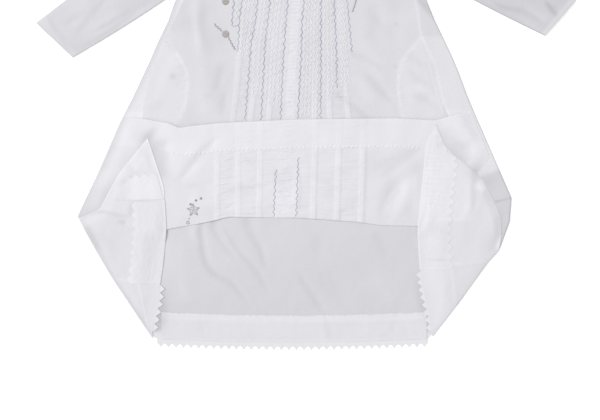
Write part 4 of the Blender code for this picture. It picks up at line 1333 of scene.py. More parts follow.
def make_hems():
    for side in SIDES:
        top, bottom = HEM_BAND_SPAN[side]
        inner = swapped(FLAP_INNER[side])
        outer = swapped(FLAP_OUTER[side])

        def reach(shares):
            y = lerp(top, bottom, shares)
            x = read(inner, y)
            limit = np.abs(read(outer, y) - x) - 3
            keep = np.where((side == "right") & (y > -150),
                            np.minimum(1, limit / (HEM_DEPTH + TOOTH_LENGTH)), 1)
            return OUTWARD[side] * keep, np.zeros_like(y)

        count = round((top - bottom) / FRONT_PITCH)
        sheet = toothed("hem_band_" + side, down_edge(side, inner, top, bottom), reach,
                        lambda x, y: flap_height(side, x, y), count,
                        lambda x, y: band_tone(side, x, y),
                        HEM_DEPTH, HEM_DEPTH + TOOTH_LENGTH, BAND_LIFT, rows=22)
        piece = sheet.finish("trim", wall=THIN_WALL)
        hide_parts("turned_hem_" + side)
        (top - bottom) * MM

    bottom = trace([(-269, -131), (-247, -131.5), (-200.5, -130.5)], 41, soft=4)
    top = trace([(-271, -123), (-250, -103), (-209, -99)], 41, soft=6)
    places = even(41)
    sheet = toothed(
        "hem_band_pleat",
        lambda s: (np.interp(s, places, bottom[:, 0]), np.interp(s, places, bottom[:, 1])),
        lambda s: tuple(np.interp(s, places, column) * lerp(1, 1.22, tooth(s, 6))
                        for column in (top - bottom).T),
        lambda x, y: flap_height("left", x, y), 6, 237, 1, 1, BAND_LIFT, rows=14)
    far = np.concatenate([part.reshape(-1) for part in sheet.tones])
    across = np.concatenate(sheet.points)[:, 0]
    sheet.tones = [lerp(230, far, soft_step(across, -258, -236))]
    piece = sheet.finish("trim")
    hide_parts("turned_hem_pleat")

    sheet = toothed(
        "hem_band_middle", lambda s: (lerp(-214, 178, s),
                                      read(HEM_LINE, lerp(-214, 178, s)) - 1.5),
        downwards,
        lambda x, y: TURNED_HEM_Z + 0.75 * puff(x, y), 32, 230,
        HEM_DEPTH - 2, HEM_DEPTH + TOOTH_LENGTH - 1, 0, rows=8)
    piece = sheet.finish("trim")
    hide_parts("turned_hem_middle")


def make_back_hem():
    sheet = Cloth("back_facing")
    columns = even(131)
    rows = even(16)[:, None]
    x = lerp(*FACING_X, columns) + 0 * rows
    y = lerp(FACING_TOP_Y, BACK_HEM_Y + 0.5, rows) - hem_drop(x)
    under = soft_step(np.abs(x + 21), 176, 186)
    z = back_height(x, y) + 0.75 + 0.15 * (1 - under) * wander(x, y, 18, 61)
    down = (y + hem_drop(x) - BACK_HEM_Y) / (FACING_TOP_Y - BACK_HEM_Y)
    tone = 225.5 + 4.5 * soft_step(down, 0.72, 0.77) + 4.5 * soft_step(-down, -0.10, -0.05)
    tone += 0.8 * wander(x, y, 30, 62) + relief(x, y, SHADES["back"])
    sheet.grid(x, y, z, tone, crimp=0.25)
    # the rolled top edge is painted darker, as its shade
    sheet.grid(*rolled(x[0], y[0], z[0], 0.8, radius=-0.35), 219, crimp=0.25)
    piece = sheet.finish("trim")
    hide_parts("back_hem_facing")

    count = round((BACK_HEM_X[1] - BACK_HEM_X[0]) / BACK_PITCH)
    sheet = toothed(
        "back_teeth",
        lambda s: (lerp(*BACK_HEM_X, s), BACK_HEM_Y + 0.6 - hem_drop(lerp(*BACK_HEM_X, s))),
        downwards,
        lambda x, y: np.full_like(x, BACK_Z), count, 230, 7, 13, 0.25, rows=8, arch=1.8)
    piece = sheet.finish("trim")
    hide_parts("picot_back")

    for side in SIDES:
        start_y, end_y = BACK_INNER[side][0][1] - 2, BACK_INNER[side][-1][1]
        sheet = toothed("back_teeth_" + side,
                        down_edge(side, swapped(BACK_INNER[side]), start_y, end_y),
                        lambda s: (-OUTWARD[side] * np.ones_like(s), np.zeros_like(s)),
                        lambda x, y: flap_height(side, x, y),
                        round((start_y - end_y) / BACK_PITCH), 231, 1, 7.6, 0, rows=5)
        piece = sheet.finish("trim", wall=THIN_WALL)
        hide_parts("picot_back_" + side)
        (start_y - end_y) * MM


# --- pockets, sleeves and neck ---

def make_pockets():
    for side in SIDES:
        sheet = Cloth("pocket_pouch_" + side)
        inner = trace(swapped(POCKET[side]), 50, soft=10)
        seam_x = read(seam(side, FRONT_SEAM_LOW), inner[:, 1], 0.5) - OUTWARD[side] * 1.5
        x = lerp(seam_x[:, None], inner[:, :1], even(22))
        y = inner[:, 1:] + 0 * x
        sheet.grid(x, y, INNER_Z + 0.4 * puff(x, y), 226, crimp=0.1)
        piece = sheet.finish("cotton")
        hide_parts("pocket_bag_" + side)


def make_sleeves():
    for side in SIDES:
        sheet = Cloth("sleeve_tube_" + side)
        armhole = swapped(ARMHOLE[side])[::-1]
        lengths = [math.dist(armhole[0], armhole[1]), math.dist(armhole[1], armhole[2])]
        corner = lengths[0] / sum(lengths)
        across = np.concatenate([np.linspace(0, corner, 4)[:-1], np.linspace(corner, 1, 34)])
        along = even(84)[:, None]
        hole_x, hole_y = (np.interp(across, [0, corner, 1], part) for part in zip(*armhole))
        cuff_x, cuff_y = (lerp(*part, across) for part in zip(*CUFF[side]))
        x = lerp(hole_x + OUTWARD[side] * 0.2, cuff_x, along)
        y = lerp(hole_y, cuff_y, along)
        y = y - SLEEVE_BOW * np.sin(np.pi * along) * (1 - across)
        span = np.hypot(x[:, -1] - x[:, 0], y[:, -1] - y[:, 0])[:, None]
        run_x, run_y = (x[:, -1:] - x[:, :1]) / span, (y[:, -1:] - y[:, :1]) / span
        inset = FOLD_INSET * (1 - 2 * across)
        x, y = x + run_x * inset, y + run_y * inset
        room = np.minimum(across, 1 - across) * span
        swell = PUFF * 0.9 * (1 - np.exp(-room / 14)) * np.clip(along * 14, 0, 1)
        swell = swell * (0.8 + 0.2 * wander(x, y, 50, 71))
        base = lerp(FRONT_Z, FRONT_Z - 0.6, along)
        z = base + swell + relief(x, y, SLEEVE_CREASES[side]) * np.clip(along * 10, 0, 1)
        z = np.maximum(z, base - 0.3)
        hem = soft_step(along, 0.945, 0.952)
        z = z + 0.12 * hem
        low = np.full_like(x, BACK_Z)
        shade, *rim = SLEEVE_TONES[side]
        tone = shade + 1.5 * wander(x, y, 45, 72)
        tone = tone + relief(x, y, SHADES["sleeve " + side])
        tone = tone + (2 * hem if side == "left" else 10 * soft_step(along, 0.962, 0.972))
        tone += seam_light(across * span - 2) * 0.6
        tone -= 1.5 * hump((along - 0.945) * SLEEVE_LENGTH, 1.3)
        # painted shade at the cuff's edge
        tone -= 7 * soft_step(along, 0.985, 1)
        far, near = (arc(x[:, k], y[:, k], low[:, k], z[:, k], (sign * run_x, sign * run_y))
                     for k, sign in ((-1, 1), (0, -1)))
        near = [part[:, ::-1] for part in near]
        parts = column_stack((x, y, low), far, (x[:, ::-1], y[:, ::-1], z[:, ::-1]), near)
        tones = np.concatenate([0 * tone + 218, 0 * far[0] + rim[0],
                                tone[:, ::-1], 0 * far[0] + rim[1]], 1)
        half = SLEEVE_WIDTH + 6
        turned = np.linspace(SLEEVE_WIDTH + 0.5, half - 0.5, COLUMNS_ROUND)
        widths = np.concatenate([across * SLEEVE_WIDTH, turned,
                                 half + (1 - across[::-1]) * SLEEVE_WIDTH, half + turned])
        places = np.meshgrid(widths, along[:, 0] * SLEEVE_LENGTH)
        sheet.grid(*parts, tones, crimp=0.15, places=places, closed=True)
        piece = sheet.finish("cotton")
        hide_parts("sleeve_" + side)


def make_neck():
    """A soft bound edge round the neck and down both sides of the slit."""
    left_x, right_x = NECK_POINT["left"][0], NECK_POINT["right"][0]
    xs = lerp(left_x, right_x, (1 + np.cos(np.linspace(math.pi, 0, 90))) / 2)
    front = np.column_stack([xs, neck_y(xs, FRONT_NECK_DROP)])
    slit = np.array([(SLIT_X - SLIT_HALF, 0), (SLIT_FOOT_X, 0), (SLIT_X + SLIT_HALF, 0)])
    slit[:, 1] = neck_y(slit[:, 0], FRONT_NECK_DROP)
    slit[1, 1] -= SLIT_DEPTH
    before, after = front[xs < slit[0, 0] - 1], front[xs > slit[2, 0] + 1]
    down = lerp(slit[0], slit[1], even(28)[:, None])
    up = lerp(slit[1], slit[2], even(28)[1:, None])
    edge = np.concatenate([before, down, up, after])
    back = np.column_stack([xs, neck_y(xs, BACK_NECK_DROP)])[-2:0:-1]
    path = np.concatenate([edge, back])
    half = np.full(len(path), BINDING_HALF)
    first, last = len(before), len(before) + len(down) + len(up)
    taper = np.abs(np.arange(first, last) - (first + last - 1) / 2) / ((last - first) / 2)
    half[first:last] = lerp(0.5, BINDING_HALF, taper)
    height = np.concatenate([front_base(*edge.T), np.full(len(back), BACK_Z + 0.4)])
    run = np.roll(path, -1, 0) - np.roll(path, 1, 0)
    run /= np.hypot(*run.T)[:, None]
    across = np.stack([-run[:, 1], run[:, 0]], 1)
    turns = np.append(np.linspace(0, 2 * math.pi, 11)[:-1], 0)[:, None]
    out = half - 0.4 + half * np.cos(turns)
    sheet = Cloth("neck_edge")
    sheet.grid(path[:, 0] + across[:, 0] * out, path[:, 1] + across[:, 1] * out,
               height + 0.75 * np.sin(turns), 231, crimp=0.4, closed=True)
    piece = sheet.finish("trim", wall=0.0003)
    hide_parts("neck_binding")


# --- stitching ---

STITCH_LENGTH = 2.4
STITCH_PITCH = 3.3
STITCH_RADIUS = 0.24


class Threads:
    """Round threads sewn onto the cloth, gathered into one piece."""

    def __init__(self, name):
        self.name = name
        self.points, self.faces, self.places = [], [], []

    def strand(self, path, radius, sides=6, flat=1):
        """A thread along points in mm, with closed ends."""
        path = np.asarray(path, float)
        run = np.gradient(path, axis=0)
        run /= np.linalg.norm(run, axis=1)[:, None] + 1e-9
        side = np.cross(run, (0, 0, 1))
        side /= np.linalg.norm(side, axis=1)[:, None] + 1e-9
        up = np.cross(side, run)
        girth = np.full(len(path), radius)
        girth[[0, -1]] *= 0.45
        turns = np.linspace(0, FULL_TURN, sides + 1)[:-1]
        rings = np.stack([path + side * (girth * math.cos(t))[:, None]
                          + up * (girth * flat * math.sin(t))[:, None] for t in turns], 1)
        start = sum(len(part) for part in self.points)
        self.points.append(rings.reshape(-1, 3))
        length = running_total(np.linalg.norm(np.diff(path, axis=0), axis=1))[:, None]
        places = np.broadcast_arrays(length, turns / FULL_TURN)
        self.places.append(np.stack(places, -1).reshape(-1, 2))
        count = len(path)
        index = np.arange(count * sides).reshape(count, sides) + start
        index = np.concatenate([index, index[:, :1]], 1)
        quads = np.stack([index[:-1, :-1], index[1:, :-1], index[1:, 1:], index[:-1, 1:]], -1)
        self.faces += quads.reshape(-1, 4).tolist()
        self.faces.append(index[0, :-1].tolist())
        self.faces.append(index[-1, -2::-1].tolist())

    def finish(self, material):
        mesh = bpy.data.meshes.new(self.name)
        mesh.from_pydata((np.concatenate(self.points) * MM).tolist(), [], self.faces)
        places = np.concatenate(self.places)
        loops = np.empty(len(mesh.loops), np.int32)
        mesh.loops.foreach_get("vertex_index", loops)
        twist = mesh.uv_layers.new(name="weave")
        twist.data.foreach_set("uv", (places[loops] / 100).astype(np.float32).reshape(-1))
        piece = place(self.name, mesh, material)
        bpy.ops.object.shade_smooth_by_angle(angle=THREAD_SMOOTH)
        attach(piece, "root")
        return piece


class Surface:
    """The finished cloth, as a place to lay threads on."""

    def __init__(self, *names):
        points, faces = [], []
        for name in names:
            mesh = bpy.data.objects[name].data
            start = len(points)
            points += [vertex.co.copy() for vertex in mesh.vertices]
            faces += [[start + k for k in face.vertices] for face in mesh.polygons]
        self.tree = BVHTree.FromPolygons(points, faces)

    def heights(self, x, y):
        """Height of the uppermost cloth at each place, in mm."""
        found = []
        for px, py in zip(np.ravel(x), np.ravel(y)):
            hit = self.tree.ray_cast((px * MM, py * MM, 0.05), (0, 0, -1))[0]
            found.append(hit.z / MM if hit else np.nan)
        found = np.array(found)
        bad = np.isnan(found)
        if bad.all():
            raise RuntimeError("a thread lies wholly off the cloth")
        found[bad] = np.interp(np.flatnonzero(bad), np.flatnonzero(~bad), found[~bad])
        return found

    def lay(self, path, lift=0):
        """A line of (x, y) points laid on the cloth."""
        path = np.asarray(path, float)
        return np.column_stack([path, self.heights(*path.T) + lift])


def wave_path(table, pitch, swing, phase=0, spacing=0.8):
    """A wavy line about a table of y, x, its waves a little uneven."""
    top, bottom = table[0][0], table[-1][0]
    y = np.arange(top, bottom, -spacing)
    x = read(table, y, soft=8)
    turn = FULL_TURN * (top - y) / pitch + phase
    turn = turn + 0.8 * np.sin(turn * 0.17 + 2 * phase)
    ripple = np.sin(turn) + 0.18 * np.sin(2 * turn)
    ripple *= 0.95 + 0.3 * np.sin(turn * 0.31 + phase)
    return np.column_stack([x + swing * ripple, y + 0.25 * swing * np.cos(turn)])


def make_waves(context):
    sizes = context.scene.dress_sizes
    pitch, swing = sizes.wave_pitch / MM, sizes.wave_swing / MM
    radius = sizes.thread_radius / MM
    cloth = Surface("dress_front")
    threads = Threads("wave_stitches")
    for index, table in enumerate(WAVES):
        path = wave_path(table, pitch, swing, phase=index * 1.7)
        girth = radius * (1.16 + 0.22 * np.sin(path[:, 1] * 0.23 + 2 * index))
        girth *= lerp(1, 0.84, soft_step(-path[:, 1], -40, 12))
        threads.strand(cloth.lay(path, 0.35 * radius), girth, flat=0.8)
    hook = trace([(-105.7, 114), (-104.5, 111.5), (-99, 112), (-95.5, 114)], 12, 3)
    threads.strand(cloth.lay(hook, 0.35 * radius), radius, flat=0.8)
    for index, table in enumerate(FOLDED_WAVES):
        path = wave_path(table, pitch * 0.9, swing, phase=index * 2.1)
        threads.strand(cloth.lay(path, 0.35 * radius), radius, flat=0.8)
    colours = context.scene.dress_colours
    threads.finish(thread("blue thread", colours.wave, vary=0.5))

    white = Threads("white_waves")
    for index, (first, second, count, bottom) in enumerate(WHITE_ROWS):
        y = np.arange(WAVES[second][0][0] - 2, bottom, -1)
        for row in range(count):
            share = (row + 1) / (count + 1)
            x = lerp(read(WAVES[first], y, 8), read(WAVES[second], y, 8), share)
            turn = FULL_TURN * (y[0] - y) / (pitch * 0.93) + 2.3 * row + index
            path = np.column_stack([x + 1.3 * np.sin(turn), y])
            white.strand(cloth.lay(path, 0.15), 0.6, sides=5, flat=0.8)
    white.finish(thread("white thread", colours.white))


def stitches(threads, cloth, path):
    """A row of short raised stitches along a line."""
    whole = running_total(np.hypot(*np.diff(path, axis=0).T))
    for index in range(int(whole[-1] / STITCH_PITCH)):
        places = index * STITCH_PITCH + STITCH_LENGTH * np.array([0, 0.3, 0.7, 1])
        x = np.interp(places, whole, path[:, 0])
        y = np.interp(places, whole, path[:, 1])
        line = cloth.lay(np.column_stack([x, y]))
        line[:, 2] += (-0.2, 0.12, 0.12, -0.2)
        threads.strand(line, STITCH_RADIUS, sides=5)


def make_stitches(context):
    cloth = Surface("dress_front", "side_gore_left", "side_gore_right", "dress_back",
                    "back_facing", "sleeve_tube_left", "sleeve_tube_right", "hem_band_left",
                    "hem_band_right", "hem_band_pleat")
    rows = Threads("seam_stitches")
    path = trace(upper_seam("right"), 200, soft=10)
    path[:, 0] -= 1.8
    stitches(rows, cloth, path[path[:, 1] < 64])
    for side in SIDES:
        armhole = trace(swapped(ARMHOLE[side][:2]), 80)
        armhole[:, 0] -= OUTWARD[side] * 2
        stitches(rows, cloth, armhole)
        tip, _, pit = swapped(ARMHOLE[side])
        share = np.linspace(0.05, 0.95, 40)
        cuff = [lerp(lerp(pit[k], tip[k], share), lerp(*part, share), 0.94)
                for k, part in enumerate(zip(*CUFF[side]))]
        cuff[1] -= 0.9 * (1 - share)
        stitches(rows, cloth, np.column_stack(cuff))
    for start_x, end_x, y in ((-196, 158, -325.5), (-200, 160, -294)):
        stitches(rows, cloth, trace([(start_x, y), (end_x, y)], 300))
    zigzag = Threads("hem_zigzag")
    xs = np.arange(-196, 160, 6.1)
    ys = read(HEM_LINE, xs) - 38 + np.where(np.arange(len(xs)) % 2, 2.9, -2.9)
    turning = np.column_stack([xs, ys])
    for start, end in zip(turning, turning[1:]):
        reach = 0.12 if end[1] > start[1] else 0.3
        line = np.array([lerp(start, end, share) for share in (reach, 0.4, 0.6, 1 - reach)])
        zigzag.strand(cloth.lay(line, -0.05), 1.15, flat=0.45)
    white = context.scene.dress_colours.white
    rows.finish(thread("sewing thread", white))
    zigzag.finish(thread("hem thread", white))


def satin_disc(threads, cloth, centre, across, lean):
    """A round dot of parallel raised threads."""
    count = 15
    centre_z = cloth.heights([centre[0]], [centre[1]])[0]
    for index in range(count):
        off = lerp(-1, 1, (index + 0.5) / count) * across / 2
        half = math.sqrt(max(0, (across / 2) ** 2 - off ** 2)) + 0.2
        places = np.linspace(-1, 1, 7)
        x = off * math.cos(lean) - places * half * math.sin(lean)
        y = off * math.sin(lean) + places * half * math.cos(lean)
        z = centre_z + 0.1 + 0.75 * (1 - places ** 2) * half / (across / 2)
        threads.strand(np.column_stack([centre[0] + x, centre[1] + y, z]),
                       across / count * 0.56, sides=5)


def make_motifs(context):
    colours = context.scene.dress_colours
    cloth = Surface("dress_front")
    taupe = Threads("dots")
    for x, y, lean in DOTS:
        satin_disc(taupe, cloth, (x, y), 10, lean)
    taupe.finish(thread("taupe thread", colours.taupe))
    dark = Threads("stems")
    for points in STEMS:
        path = trace(points, 40, soft=4)
        wiggle = 0.9 * np.sin(np.linspace(0, math.dist(points[0], points[-1]) * 1.3, 40))
        dark.strand(cloth.lay(path + wiggle[:, None] * (0.7, 0.5), 0.15), 0.8, flat=0.6)
    star(dark, cloth)
    dark.finish(thread("dark thread", colours.outline))


def ring(centre, radius, turns):
    """Points round a centre, at angles from it."""
    return centre + np.column_stack([radius * np.cos(turns), radius * np.sin(turns)])


def star(dark, cloth):
    """A plain five-pointed star of gold threads with a dark outline, and its beads."""
    gold = Threads("star_filling")
    centre = np.array(STAR)
    turns = math.radians(94) + np.arange(10) * math.pi / 5
    corners = ring(centre, np.where(np.arange(10) % 2, 4.3, 9.6), turns)
    for index in range(0, 10, 2):
        tip = corners[index]
        sides = corners[(index - 1) % 10], corners[(index + 1) % 10]
        for share in even(9):
            foot = lerp(lerp(sides[0], sides[1], share), centre, 0.8)
            path = np.array([lerp(tip, foot, s) for s in np.linspace(0.03, 1, 6)])
            gold.strand(cloth.lay(path, 0.25), 0.42, sides=5)
    gold.finish(thread("gold thread", bpy.context.scene.dress_colours.gold))
    dark.strand(cloth.lay(trace(np.concatenate([corners, corners[:1]]), 90), 0.3), 0.26)
    for bead in BEADS:
        for radius, lift in ((0.5, 0.45), (1.2, 0.2)):
            loop = ring(bead, radius, np.linspace(0, FULL_TURN, 16))
            dark.strand(cloth.lay(loop, lift), 0.55)
    loop = ring((-166.9, -163.4), 1.9, np.linspace(0, FULL_TURN, 22))
    dark.strand(cloth.lay(loop, 0.2), 0.42)
    stalk = trace([(-164.5, -156), (-166, -160)], 8)
    dark.strand(cloth.lay(stalk, 0.15), 0.35)


# --- materials ---

DULL_GREY = (0.36, 0.37, 0.40)   # what the threads fade towards


class Wire:
    """A shader value; arithmetic on it adds Math nodes to the same material."""

    def __init__(self, tree, socket):
        self.tree = tree
        self.socket = socket

    def node(self, kind, inputs=(), output=0, **settings):
        """Adds a node of any kind, with its inputs linked or set, and gives its output."""
        made = self.tree.nodes.new(kind)
        for name, value in settings.items():
            setattr(made, name, value)
        self.feed(made, inputs)
        return Wire(self.tree, made.outputs[output])

    def feed(self, node, inputs):
        """Links a node's inputs to values, or sets them."""
        for name, value in dict(inputs).items():
            if isinstance(value, Wire):
                self.tree.links.new(value.socket, node.inputs[name])
            else:
                node.inputs[name].default_value = value

    def sum_of(self, operation, *values):
        return self.node("ShaderNodeMath", dict(enumerate(values)), operation=operation)

    def __add__(self, other):
        return self.sum_of("ADD", self, other)

    def __sub__(self, other):
        return self.sum_of("SUBTRACT", self, other)

    def __rsub__(self, other):
        return self.sum_of("SUBTRACT", other, self)

    def __mul__(self, other):
        return self.sum_of("MULTIPLY", self, other)

    def __pow__(self, other):
        return self.sum_of("POWER", self, other)

    __radd__ = __add__
    __rmul__ = __mul__


def new_material(name):
    """A node material, its shader node and a Wire to start from."""
    material = bpy.data.materials.new(name)
    material.use_nodes = True
    shader = material.node_tree.nodes["Principled BSDF"]
    return material, shader, Wire(material.node_tree, None)


def split(wire, place):
    """The first two values of a vector."""
    return [wire.node("ShaderNodeSeparateXYZ", {"Vector": place}, output=k) for k in (0, 1)]


def noise(wire, place, scale, detail=2, rough=0.5):
    return wire.node("ShaderNodeTexNoise", {"Vector": place, "Scale": scale, "Detail": detail,
                                            "Roughness": rough})


def cotton(kind):
    """Thin white cotton: a fine plain weave with slubs, faint creases and crimps."""
    name = "woven " + kind
    if name in bpy.data.materials:
        return bpy.data.materials[name]
    colours = bpy.context.scene.dress_colours
    sizes = bpy.context.scene.dress_sizes
    material, shader, wire = new_material(name)
    # tone holds the cloth's lightness with the painted light and shade of creases, edges and gaps
    tone = wire.node("ShaderNodeAttribute", output=2, attribute_name="tone")
    crimp = wire.node("ShaderNodeAttribute", output=2, attribute_name="crimp")
    place = wire.node("ShaderNodeUVMap", uv_map="weave")
    flat = wire.node("ShaderNodeTexCoord", output=3)
    across, down = split(wire, place)
    pace = FULL_TURN * 0.1 / sizes.weave_pitch
    warp = wire.sum_of("SINE", across * pace)
    weft = wire.sum_of("SINE", down * pace)
    weave = wire.sum_of("MAXIMUM", warp, weft)

    def stretched(x_scale, y_scale):
        return wire.node("ShaderNodeCombineXYZ", {"X": across * x_scale, "Y": down * y_scale})

    slub_across = noise(wire, stretched(1.2, 90), 1, detail=1)
    slub_down = noise(wire, stretched(90, 1.2), 1, detail=1)
    slub = slub_across + slub_down - 1
    mottle = noise(wire, flat, 26, detail=3)
    creased = noise(wire, flat, 70, detail=3, rough=0.55)
    ripple = noise(wire, stretched(4, 15), 1, detail=1.5)
    fine = noise(wire, stretched(14, 34), 1, detail=1)
    ribbed = wire.sum_of("MINIMUM", wire.sum_of("MAXIMUM", crimp * 2.5 - 4, 0), 1)
    rib = wire.sum_of("SINE", down * 122 + (creased - 0.5) * 7 + (mottle - 0.5) * 9)
    crimp = wire.sum_of("MINIMUM", crimp, 1.4 - ribbed * 0.5)
    shade = tone + (mottle - 0.5) * 3 + slub * 2 + weave * 0.4
    # crimps and the strip's ribs show as light and dark streaks: partly texture, partly painted
    # shade
    shade = shade + crimp * (fine - 0.5) * 7 + ribbed * rib * 2.2
    light = (shade * (1 / 255)) ** 2.2 * sizes.cloth_gain
    tinted = {name: light * share for name, share in zip(("Red", "Green", "Blue"), colours.cloth)}
    colour = wire.node("ShaderNodeCombineColor", tinted)
    height = (weave * 0.02 + slub * 0.06 + (creased - 0.5) * 0.55
              + crimp * ((ripple - 0.5) * 1.7 + (fine - 0.5) * 0.8) + ribbed * rib * 0.05)
    bump = wire.node("ShaderNodeBump", {"Height": height, "Distance": 0.001, "Strength": 1})
    rough = 0.86 + (mottle - 0.5) * 0.12
    wire.feed(shader, {"Base Color": colour, "Roughness": rough, "Normal": bump,
                       "Specular IOR Level": 0.25, "Sheen Weight": 0.06,
                       "Sheen Roughness": 0.6})
    return material


def thread(name, colour, vary=0.15):
    """Twisted embroidery thread, a little glossy, its colour fading along its length."""
    material, shader, wire = new_material(name)
    place = wire.node("ShaderNodeUVMap", uv_map="weave")
    along, around = split(wire, place)
    twist = wire.sum_of("SINE", along * 700 + around * (200 * FULL_TURN))
    flat = wire.node("ShaderNodeTexCoord", output=3)
    patch = noise(wire, flat, 22, detail=1)
    # besides its fading, the twist shows as faint painted light and shade along the thread
    fade = (patch - 0.5) * vary * 1.6 + twist * 0.05 + 1
    greyed = wire.node("ShaderNodeMix", {"Factor": patch * vary, "A": (*colour, 1),
                                         "B": (*DULL_GREY, 1)}, output=2, data_type="RGBA")
    shown = wire.node("ShaderNodeVectorMath", {0: greyed, "Scale": fade}, operation="SCALE")
    bump = wire.node("ShaderNodeBump", {"Height": twist, "Distance": 0.00008, "Strength": 0.8})
    rough = 0.55 + (patch - 0.5) * 0.2
    wire.feed(shader, {"Base Color": shown, "Normal": bump, "Roughness": rough,
                       "Specular IOR Level": 0.35})
    return material


def paper():
    """The plain white surface that the dress lies on, faintly lit from below."""
    material, shader, wire = new_material("white paper")
    flat = wire.node("ShaderNodeTexCoord", output=3)
    grain = noise(wire, flat, 400, detail=2)
    value = 0.93 + (grain - 0.5) * 0.01
    colour = wire.node("ShaderNodeCombineColor", {"Red": value, "Green": value, "Blue": value})
    wire.feed(shader, {"Base Color": colour, "Roughness": 0.9, "Specular IOR Level": 0.1,
                       "Emission Color": (1, 1, 1, 1), "Emission Strength": 0.35})
    return material


# --- the stage ---

FLOOR_SIZE = 8
FLOOR_GAP = 0.0003     # keeps the floor clear of the cloth's underside
WINDOW_SPREAD = math.radians(32)
CAMERA_OVER = (-0.0098, -0.1456)
LENS = 85


def make_stage(context):
    stage = context.scene.dress_stage
    deselect()
    bpy.ops.mesh.primitive_plane_add(size=FLOOR_SIZE, location=(0, 0, -FLOOR_GAP))
    floor = context.object
    floor.name = "floor"
    bpy.ops.object.transform_apply(location=True, rotation=True, scale=True)
    floor.data.materials.append(paper())

    bpy.ops.object.light_add(type="SUN", location=(-1, 0.4, 1.4))
    sun = context.object
    sun.name = "window"
    sun.data.energy = stage.window_light
    sun.data.angle = WINDOW_SPREAD
    sun.rotation_euler = (0, math.radians(-42), math.radians(-18))
    world = context.scene.world or bpy.data.worlds.new("World")
    context.scene.world = world
    world.use_nodes = True
    sky = world.node_tree.nodes["Background"]
    sky.inputs["Color"].default_value = (1, 1, 1, 1)
    sky.inputs["Strength"].default_value = stage.room_light

    bpy.ops.object.camera_add(location=(*CAMERA_OVER, stage.camera_height))
    camera = context.object
    camera.name = "camera"
    camera.data.lens = LENS
    camera.data.sensor_width = 36
    camera.data.clip_end = 50
    context.scene.camera = camera
    context.scene.view_settings.view_transform = "Standard"


# --- the add-on ---

def length(name, description, default, low, high):
    """A size in metres that a user can change."""
    return bpy.props.FloatProperty(name=name, description=description, default=default,
                                   min=low, max=high, precision=5, unit="LENGTH")


def amount(name, description, default, low, high):
    """A plain number that a user can change."""
    return bpy.props.FloatProperty(name=name, description=description, default=default,
                                   min=low, max=high)


def colour(name, description, default, high=1):
    """A colour that a user can change."""
    return bpy.props.FloatVectorProperty(name=name, description=description, size=3,
                                         default=default, min=0, max=high, subtype="COLOR")


class DressSizes(bpy.types.PropertyGroup):
    """Sizes of the cloth and of its stitching."""

    cloth_wall: length("Cloth", "Thickness of the cotton", 0.0006, 0.0002, 0.001)
    cloth_gain: amount("Whiteness", "Lightness of the cotton", 0.87, 0.2, 1.2)
    weave_pitch: amount("Weave", "Spacing of the woven threads in mm", 0.45, 0.2, 2)
    thread_radius: length("Thread", "Radius of the embroidery thread", 0.00042, 0.0001, 0.002)
    wave_pitch: length("Wave length", "Length of one wave of the stitch lines", 0.0098, 0.003, 0.03)
    wave_swing: length("Wave swing", "How far the stitch lines swing to each side",
                       0.00105, 0, 0.005)


class DressColours(bpy.types.PropertyGroup):
    """Colours of the cloth and of its threads."""

    cloth: colour("Cotton", "Tint of the white cotton", (0.998, 0.988, 1.038), high=1.2)
    wave: colour("Wave stitches", "Steel blue thread", (0.42, 0.45, 0.56))
    taupe: colour("Dots", "Taupe thread", (0.52, 0.475, 0.47))
    gold: colour("Star", "Dull gold thread", (0.58, 0.55, 0.51))
    outline: colour("Stems", "Dark grey thread", (0.39, 0.38, 0.40))
    white: colour("White stitches", "White sewing thread", (0.80, 0.80, 0.83))


class DressStage(bpy.types.PropertyGroup):
    """The camera and the lights."""

    camera_height: length("Camera", "Height of the camera", 1.989, 0.5, 5)
    window_light: amount("Window", "Strength of the light from the left", 1.9, 0, 10)
    room_light: amount("Room", "Strength of the light from all round", 0.70, 0, 5)


class DRESS_OT_back(bpy.types.Operator):
    """Make the back with its folded corners"""

    bl_idname = "dress.back"
    bl_label = "Back"

    def execute(self, context):
        make_back()
        return {"FINISHED"}


class DRESS_OT_front(bpy.types.Operator):
    """Make the front with its pressed bands and its folded-up hem"""

    bl_idname = "dress.front"
    bl_label = "Front"

    def execute(self, context):
        make_front()
        return {"FINISHED"}


class DRESS_OT_sides(bpy.types.Operator):
    """Make the two side panels with their flaps"""

    bl_idname = "dress.sides"
    bl_label = "Side panels"

    def execute(self, context):
        for side in SIDES:
            make_side_panel(side)
        return {"FINISHED"}


class DRESS_OT_hems(bpy.types.Operator):
    """Make the turned hem with its pointed teeth"""

    bl_idname = "dress.hems"
    bl_label = "Turned hem"

    def execute(self, context):
        make_hems()
        return {"FINISHED"}


class DRESS_OT_back_hem(bpy.types.Operator):
    """Make the back hem's facing and teeth"""

    bl_idname = "dress.back_hem"
    bl_label = "Back hem"

    def execute(self, context):
        make_back_hem()
        return {"FINISHED"}


class DRESS_OT_pockets(bpy.types.Operator):
    """Make the two pocket bags"""

    bl_idname = "dress.pockets"
    bl_label = "Pockets"

    def execute(self, context):
        make_pockets()
        return {"FINISHED"}


class DRESS_OT_sleeves(bpy.types.Operator):
    """Make the two sleeves"""

    bl_idname = "dress.sleeves"
    bl_label = "Sleeves"

    def execute(self, context):
        make_sleeves()
        return {"FINISHED"}


class DRESS_OT_neck(bpy.types.Operator):
    """Make the bound neck edge"""

    bl_idname = "dress.neck"
    bl_label = "Neck"

    def execute(self, context):
        make_neck()
        return {"FINISHED"}


class DRESS_OT_waves(bpy.types.Operator):
    """Sew the wavy lines down the front"""

    bl_idname = "dress.waves"
    bl_label = "Wavy stitches"

    def execute(self, context):
        make_waves(context)
        return {"FINISHED"}


class DRESS_OT_motifs(bpy.types.Operator):
    """Embroider the dots, stems and star"""

    bl_idname = "dress.motifs"
    bl_label = "Motifs"

    def execute(self, context):
        make_motifs(context)
        return {"FINISHED"}


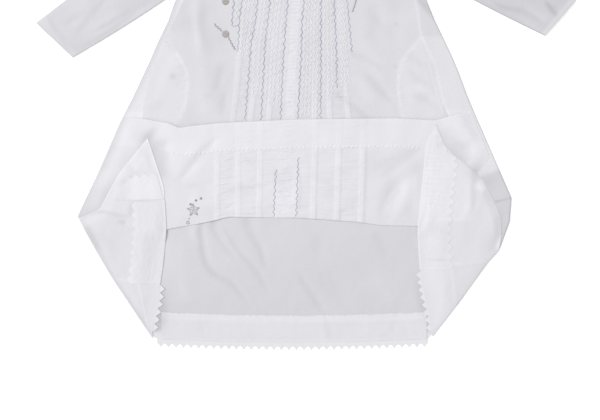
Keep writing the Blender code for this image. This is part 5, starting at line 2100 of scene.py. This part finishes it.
class DRESS_OT_stitches(bpy.types.Operator):
    """Sew the seams and hems"""

    bl_idname = "dress.stitches"
    bl_label = "Seams"

    def execute(self, context):
        make_stitches(context)
        return {"FINISHED"}


class DRESS_OT_stage(bpy.types.Operator):
    """Set the floor, the lights and the camera"""

    bl_idname = "dress.stage"
    bl_label = "Stage"

    def execute(self, context):
        make_stage(context)
        return {"FINISHED"}


class DRESS_PT_panel(bpy.types.Panel):
    """Sizes, colours and steps of the dress"""

    bl_idname = "DRESS_PT_panel"
    bl_label = "Embroidered dress"
    bl_space_type = "VIEW_3D"
    bl_region_type = "UI"
    bl_category = "Dress"

    def draw(self, context):
        for setting in SETTINGS:
            group = getattr(context.scene, setting)
            box = self.layout.box()
            for name in group.__annotations__:
                box.prop(group, name)
        for operator in OPERATORS:
            self.layout.operator(operator.bl_idname)


SETTINGS = {"dress_sizes": DressSizes, "dress_colours": DressColours, "dress_stage": DressStage}
OPERATORS = (DRESS_OT_back, DRESS_OT_front, DRESS_OT_sides, DRESS_OT_hems, DRESS_OT_back_hem,
             DRESS_OT_pockets, DRESS_OT_sleeves, DRESS_OT_neck, DRESS_OT_waves,
             DRESS_OT_motifs, DRESS_OT_stitches, DRESS_OT_stage)


def register():
    for item in (*SETTINGS.values(), *OPERATORS, DRESS_PT_panel):
        bpy.utils.register_class(item)
    for setting, group in SETTINGS.items():
        setattr(bpy.types.Scene, setting, bpy.props.PointerProperty(type=group))


def unregister():
    for setting in SETTINGS:
        delattr(bpy.types.Scene, setting)
    for item in (DRESS_PT_panel, *OPERATORS, *SETTINGS.values()):
        bpy.utils.unregister_class(item)


def main():
    register()
    bpy.ops.dress.stage()
    bpy.ops.dress.back()
    bpy.ops.dress.pockets()
    bpy.ops.dress.front()
    bpy.ops.dress.sides()
    bpy.ops.dress.sleeves()
    bpy.ops.dress.hems()
    bpy.ops.dress.back_hem()
    bpy.ops.dress.neck()
    bpy.ops.dress.waves()
    bpy.ops.dress.motifs()
    bpy.ops.dress.stitches()


if __name__ == "__main__":
    main()
